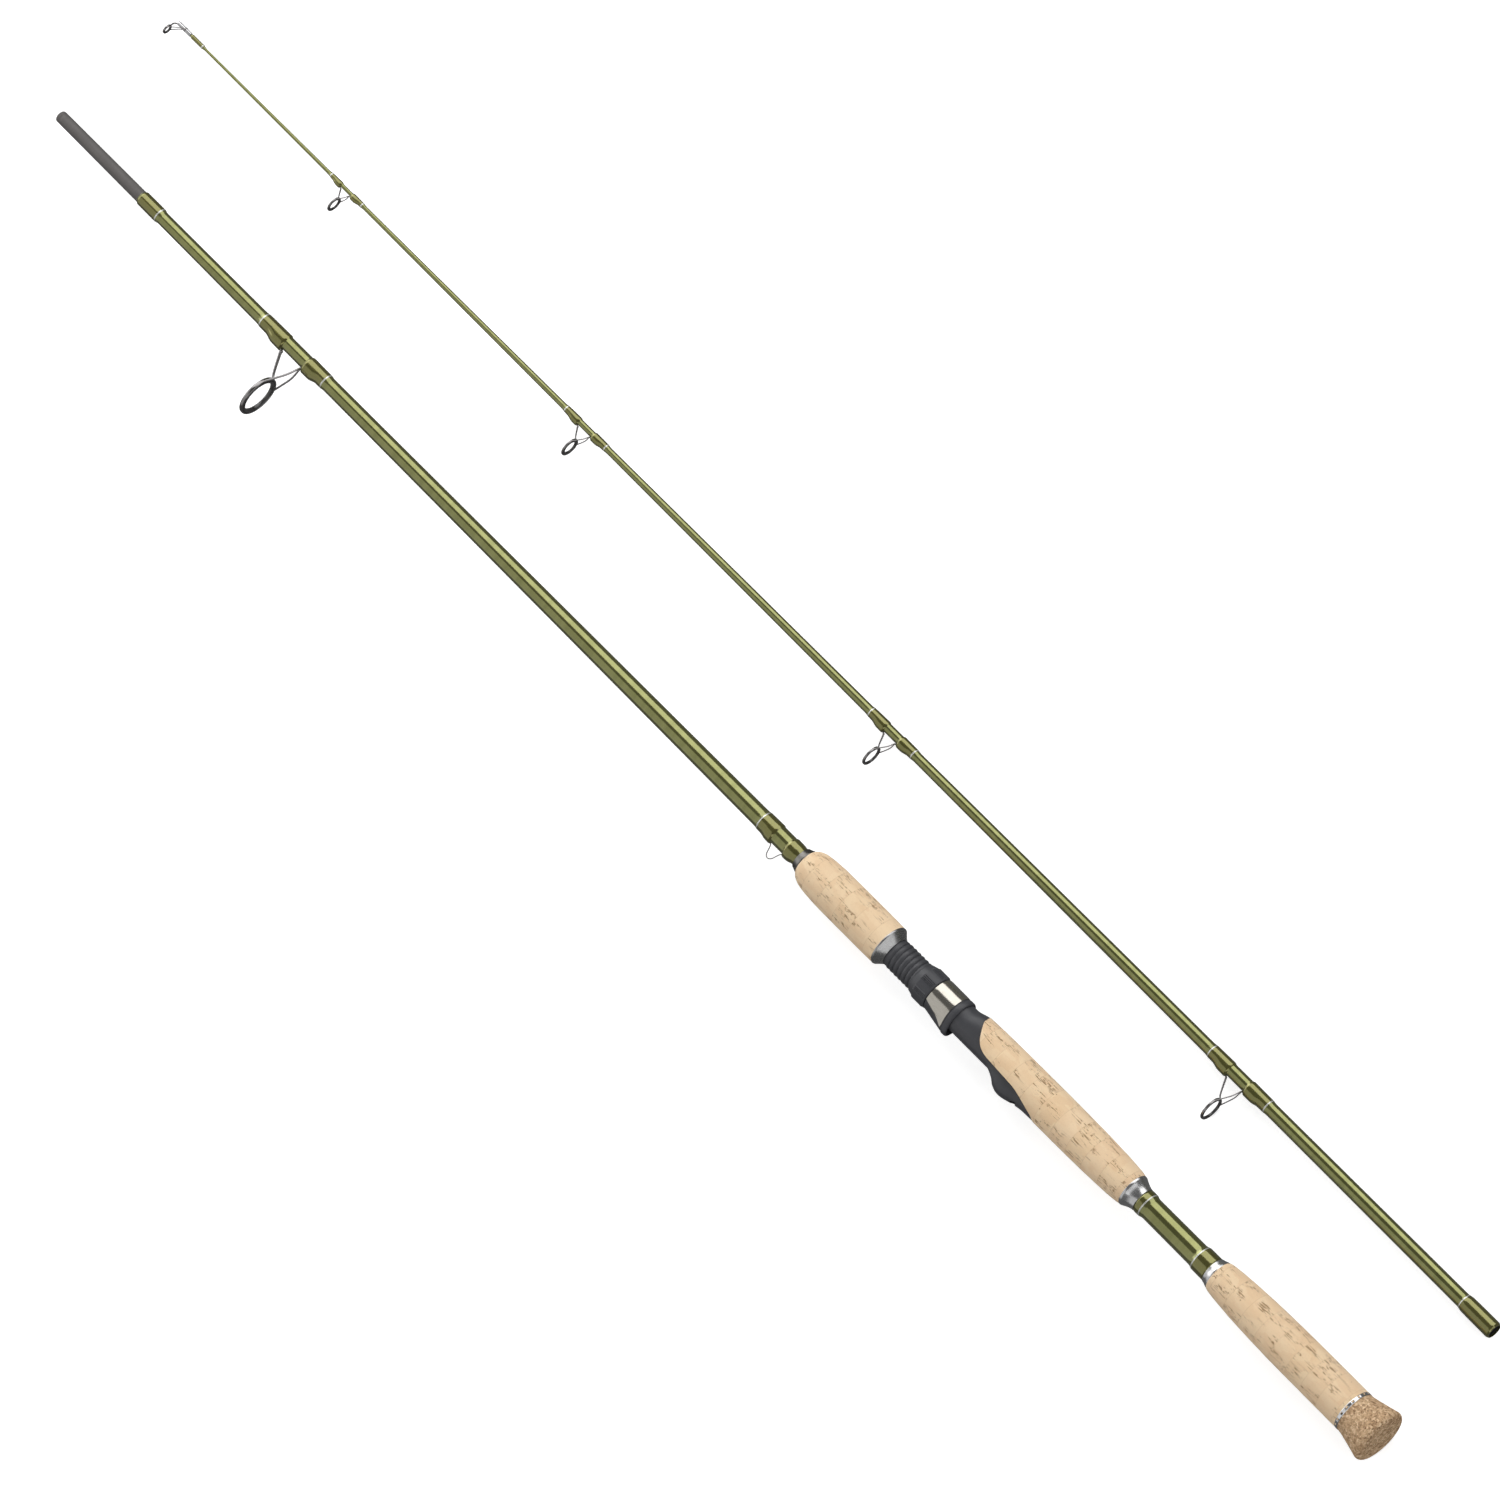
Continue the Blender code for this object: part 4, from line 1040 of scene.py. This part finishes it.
def thread_wave(station, angle):
    """The right-hand thread's rounded form, with crests much broader than its roots."""
    crest = abs(math.cos(math.pi * (station / THREAD_PITCH - angle / TURN)))
    return THREAD_DEPTH * (2 * crest ** 0.62 - 1)


def barrel_radius(station, angle):
    low, high = BARREL
    fade = ease(station, low, low + THREAD_PITCH) * ease(-station, -high, THREAD_PITCH - high)
    return THREAD_MEAN + fade * thread_wave(station, angle)


FIXED_HOOD = ((262.0, 9.5), (266.0, 9.6), (268.0, 12.1), (277.0, 12.4), (284.0, 13.5), (290.5, 15.1),
              (293.0, 15.4), (295.0, 15.3), (297.0, 14.8), (300.5, 13.3), (304.5, 11.5), (308.5, 10.1),
              (313.0, 9.5))
FIXED_HOOD_NOSE = 7.5


def seat_radius(station, angle):
    """The smooth part of the seat: the flat bed, the fixed hood and the raised back."""
    side = from_guide_side(angle)
    radius = hull_radius(angle, SEAT_RADIUS, curved(FIXED_HOOD, station), FIXED_HOOD_NOSE)
    back = BACK_RISE * ease(side, 75, 150) * ease(-station, -BACK_EDGE[1], -BACK_EDGE[0])
    level = ease(station, *BED_EDGE)
    if math.cos(angle) > 0:
        radius += level * (min(radius, BED_HEIGHT / math.cos(angle)) - radius)
    return radius + back


def build_reel_seat():
    rings = [(x, lambda angle, x=x: seat_radius(x, angle))
             for x in (SEAT_REAR + 0.8 * k for k in range(112))]
    low, high = BARREL
    count = round((high - low) / THREAD_PITCH * 20)
    for step in range(count + 1):
        x = low + (high - low) * step / count
        rings.append((x, lambda angle, x=x: barrel_radius(x, angle)))
    rings += [(high + 0.4, 8.5), (SEAT_FRONT, 8.5), (SEAT_FRONT, SEAT_BORE), (SEAT_REAR, SEAT_BORE)]
    made = piece("reel_seat_body", loft(rings, 144), BUTT, "moulding", ["reel_seat"], sharp=38)

    # the pocket that takes the rear of a reel's foot, arched over the bed
    width, floor, spring = 4.6, BED_HEIGHT, 10.4
    arch = [(-width, floor), (width, floor), (width, spring)]
    arch += [(width * math.cos(a), spring + 3.5 * math.sin(a))
             for a in (step * math.pi / 12 for step in range(1, 12))]
    arch += [(-width, spring)]
    cutter = bmesh.new()
    ends = [[cutter.verts.new((x * MM, y * MM, z * MM)) for z, y in arch] for x in (281.5, 312.0)]
    skin(cutter, ends, capped=True)
    bmesh.ops.recalc_face_normals(cutter, faces=cutter.faces)
    carve(made, placed("pocket_cutter", cutter, AXIS[BUTT]))


def carve(made, tool):
    """Cuts tool out of a piece for good, then removes the tool."""
    step = made.modifiers.new("cut", "BOOLEAN")
    step.operation, step.solver, step.object = "DIFFERENCE", "EXACT", tool
    bpy.context.view_layer.update()
    cut = bpy.data.meshes.new_from_object(made.evaluated_get(bpy.context.evaluated_depsgraph_get()))
    made.modifiers.remove(step)
    cut.shade_smooth()
    cut.set_sharp_from_angle(angle=math.radians(38))
    made.data = cut
    bpy.data.objects.remove(tool)


def build_locking_nut():
    """The nut: groups of fine axial ribs between smooth lands, and a chamfered front."""
    low, high = NUT
    groups, slots, lines, rib_height = 8, 9, 4, 0.40
    profile = [(low, 10.2), (low + 0.3, 10.62), (low + 0.8, HOOD_RADIUS), (high - 4.4, HOOD_RADIUS),
               (high - 4.0, 10.70), (high - 1.2, 9.95), (high - 0.3, 9.70), (high, 9.3)]
    outline = fill_between(profile, 0.35)

    def rib(station, angle):
        place = (angle / TURN * groups) % 1.0 * slots
        if place > lines:
            return 0.0
        crest = ease(0.5 - abs(place % 1.0 - 0.5), 0.12, 0.42)
        ends = ease(station, low + 0.7, low + 1.6) * ease(-station, 3.2 - high, 4.4 - high)
        return rib_height * crest * ends

    rings = [(x, lambda angle, x=x, r=r: r - 0.12 + rib(x, angle)) for x, r in outline]
    rings += [(high, 9.1), (low, 9.1)]
    piece("locking_nut_ribbed", loft(rings, groups * slots * 8), "locking_nut", "moulding",
          ["locking_nut"], sharp=40)


def build_moving_hood():
    """The sliding hood with its nickel plate, and the black rim behind the plate."""
    low, high = HOOD
    nose = 6.0
    plate_low, plate_high = low + 4.6, high - 0.4
    nose_side, corner_side = 20.0, 58.0    # degrees: where the plate starts, and its front corner

    def reach(station):
        """The hood's nose sinks from its rear rim to its front end."""
        return straight(((low, HOOD_REACH), (low + 4.4, HOOD_REACH), (high - 1.5, HOOD_RADIUS + 0.1),
                         (high, HOOD_RADIUS)), station)

    def outer(station, angle, inset=0.0):
        return hull_radius(angle, HOOD_RADIUS, reach(station), nose) - inset

    rim = [(low, 0.9), (low + 0.25, 0.35), (low + 0.8, 0.05), (low + 1.4, 0.0), (low + 3.0, 0.0),
           (low + 3.5, 0.15), (low + 3.7, 0.5), (low + 4.3, 0.5)]
    rim += [(low + 4.6 + 0.5 * k, 0.42) for k in range(31)] + [(high, 0.9)]
    rings = [(x, lambda angle, x=x, inset=inset: outer(x, angle, inset)) for x, inset in rim]
    rings += [(high, 9.75), (low + 3.6, 9.85), (low, lambda angle: hull_radius(angle, 9.85, 12.4, 5.2))]
    piece("moving_hood_body", loft(rings, 144), "moving_hood", "moulding", ["moving_hood"], sharp=36)

    # the plate runs round the back from one side of the nose to the other
    bm = bmesh.new()
    loops = []
    steps, rows = 150, 14
    for step in range(steps + 1):
        degrees = nose_side + (360 - 2 * nose_side) * step / steps
        angle = math.radians(degrees)
        side = min(degrees, 360 - degrees)
        share = min(1.0, 0.04 + (side - nose_side) / (corner_side - nose_side))
        front = plate_low + (plate_high - plate_low) * share
        stations = [plate_low + (front - plate_low) * k / rows for k in range(rows + 1)]
        section = [(x, outer(x, angle, 0.08 if k in (0, rows) else 0.0)) for k, x in enumerate(stations)]
        section += [(front, outer(front, angle, 0.6)), (plate_low, outer(plate_low, angle, 0.6))]
        loops.append([bm.verts.new((x, r * math.cos(angle), r * math.sin(angle))) for x, r in section])
    skin(bm, loops, capped=True)
    piece("moving_hood_nickel_plate", bm, "moving_hood", "nickel",
          ["moving_hood_plate"], sharp=36)


# Hidden pieces keep their CAD shape

def finish_hidden_nodes():
    for node in ("reel_seat_front_arbor", "reel_seat_rear_arbor", "bore_plug"):
        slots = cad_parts[node].data.materials
        slots.clear()
        slots.append(FINISH["socket"][0])


# Stage

def build_stage():
    """A pale floor. The object's own reflections come from the lights and not from the floor."""
    bm = bmesh.new()
    bmesh.ops.create_grid(bm, x_segments=1, y_segments=1, size=30.0)
    floor = placed("floor", bm)
    paper = Shader("white_paper", Base_Color=(0.8, 0.8, 0.8, 1.0), Roughness=1.0, Specular_IOR_Level=0.0,
                   Emission_Color=(1.0, 1.0, 1.0, 1.0), Emission_Strength=0.62)
    floor.data.materials.append(paper.material)
    floor.visible_glossy = False
    floor.visible_diffuse = False


def area_light(name, place, size, power):
    """A panel that faces the middle of the object and that the camera doesn't see."""
    data = bpy.data.lights.new(name, "AREA")
    data.shape = "RECTANGLE"
    data.size, data.size_y = size
    data.energy = power
    light = bpy.data.objects.new(name, data)
    light.location = place
    light.rotation_euler = (-Vector(place)).to_track_quat("-Z", "Y").to_euler()
    light.visible_camera = False
    bpy.context.scene.collection.objects.link(light)


def build_lights():
    """A bright panel on the tip section's side, a dim one on the guides' side, and one past each end."""
    for panel in (("bright_panel", (0.79, -1.53, 1.36), (4.4, 2.1), 52.0),
                  ("dim_panel", (0.79, 1.72, 1.12), (4.6, 3.4), 27.0),
                  ("end_panel", (-2.4, 0.0, 1.15), (4.4, 2.4), 34.0),
                  ("tip_panel", (2.6, 0.0, 1.05), (4.4, 2.2), 38.0)):
        area_light(*panel)
    world = bpy.data.worlds.new("studio")
    world.use_nodes = True
    tree = world.node_tree
    backdrop = tree.nodes["Background"]
    path = tree.nodes.new("ShaderNodeLightPath")
    shade = tree.nodes.new("ShaderNodeMix")
    shade.data_type = "RGBA"
    tree.links.new(path.outputs["Is Camera Ray"], shade.inputs["Factor"])
    shade.inputs[6].default_value = (0.14, 0.14, 0.14, 1.0)
    shade.inputs[7].default_value = (0.90, 0.90, 0.90, 1.0)
    tree.links.new(shade.outputs[2], backdrop.inputs["Color"])
    bpy.context.scene.world = world


CAMERA_TILT = math.radians(21.0)
CAMERA_DISTANCE = 8.80
FRAME_FOCAL = 16000 / 1500     # focal length as a multiple of the frame's width
VIEW_STATION = 539.4


def build_camera():
    """A long lens, tilted back along the rods from straight above, with the tips to the upper left."""
    data = bpy.data.cameras.new("camera")
    data.sensor_width = 36.0
    data.lens = FRAME_FOCAL * data.sensor_width
    data.clip_start, data.clip_end = 0.1, 100.0
    camera = bpy.data.objects.new("camera", data)
    bpy.context.scene.collection.objects.link(camera)
    target = Vector((AXIS[BUTT].x + VIEW_STATION * MM, AXIS[BUTT].y - 0.022, 0.012))
    along = Vector((math.cos(CAMERA_TILT), 0, math.sin(CAMERA_TILT)))
    back = Vector((-math.sin(CAMERA_TILT), 0, math.cos(CAMERA_TILT)))
    guides = Vector((0, 1, 0))
    right, up = -(along + guides).normalized(), (along - guides).normalized()
    place = Matrix((right, up, back)).transposed().to_4x4()
    place.translation = target + back * CAMERA_DISTANCE
    camera.matrix_world = place
    bpy.context.scene.camera = camera


def build():
    build_blanks()
    build_ferrule_wraps()
    build_plain_wraps()
    for name in GUIDES:
        build_guide(name)
    build_tip_top()
    build_hook_keeper()
    build_grips()
    build_rear_grip()
    build_butt_end()
    build_reel_seat()
    build_locking_nut()
    build_moving_hood()
    finish_hidden_nodes()
    build_stage()
    build_lights()
    build_camera()
    bpy.context.scene.view_settings.view_transform = "Standard"


build()
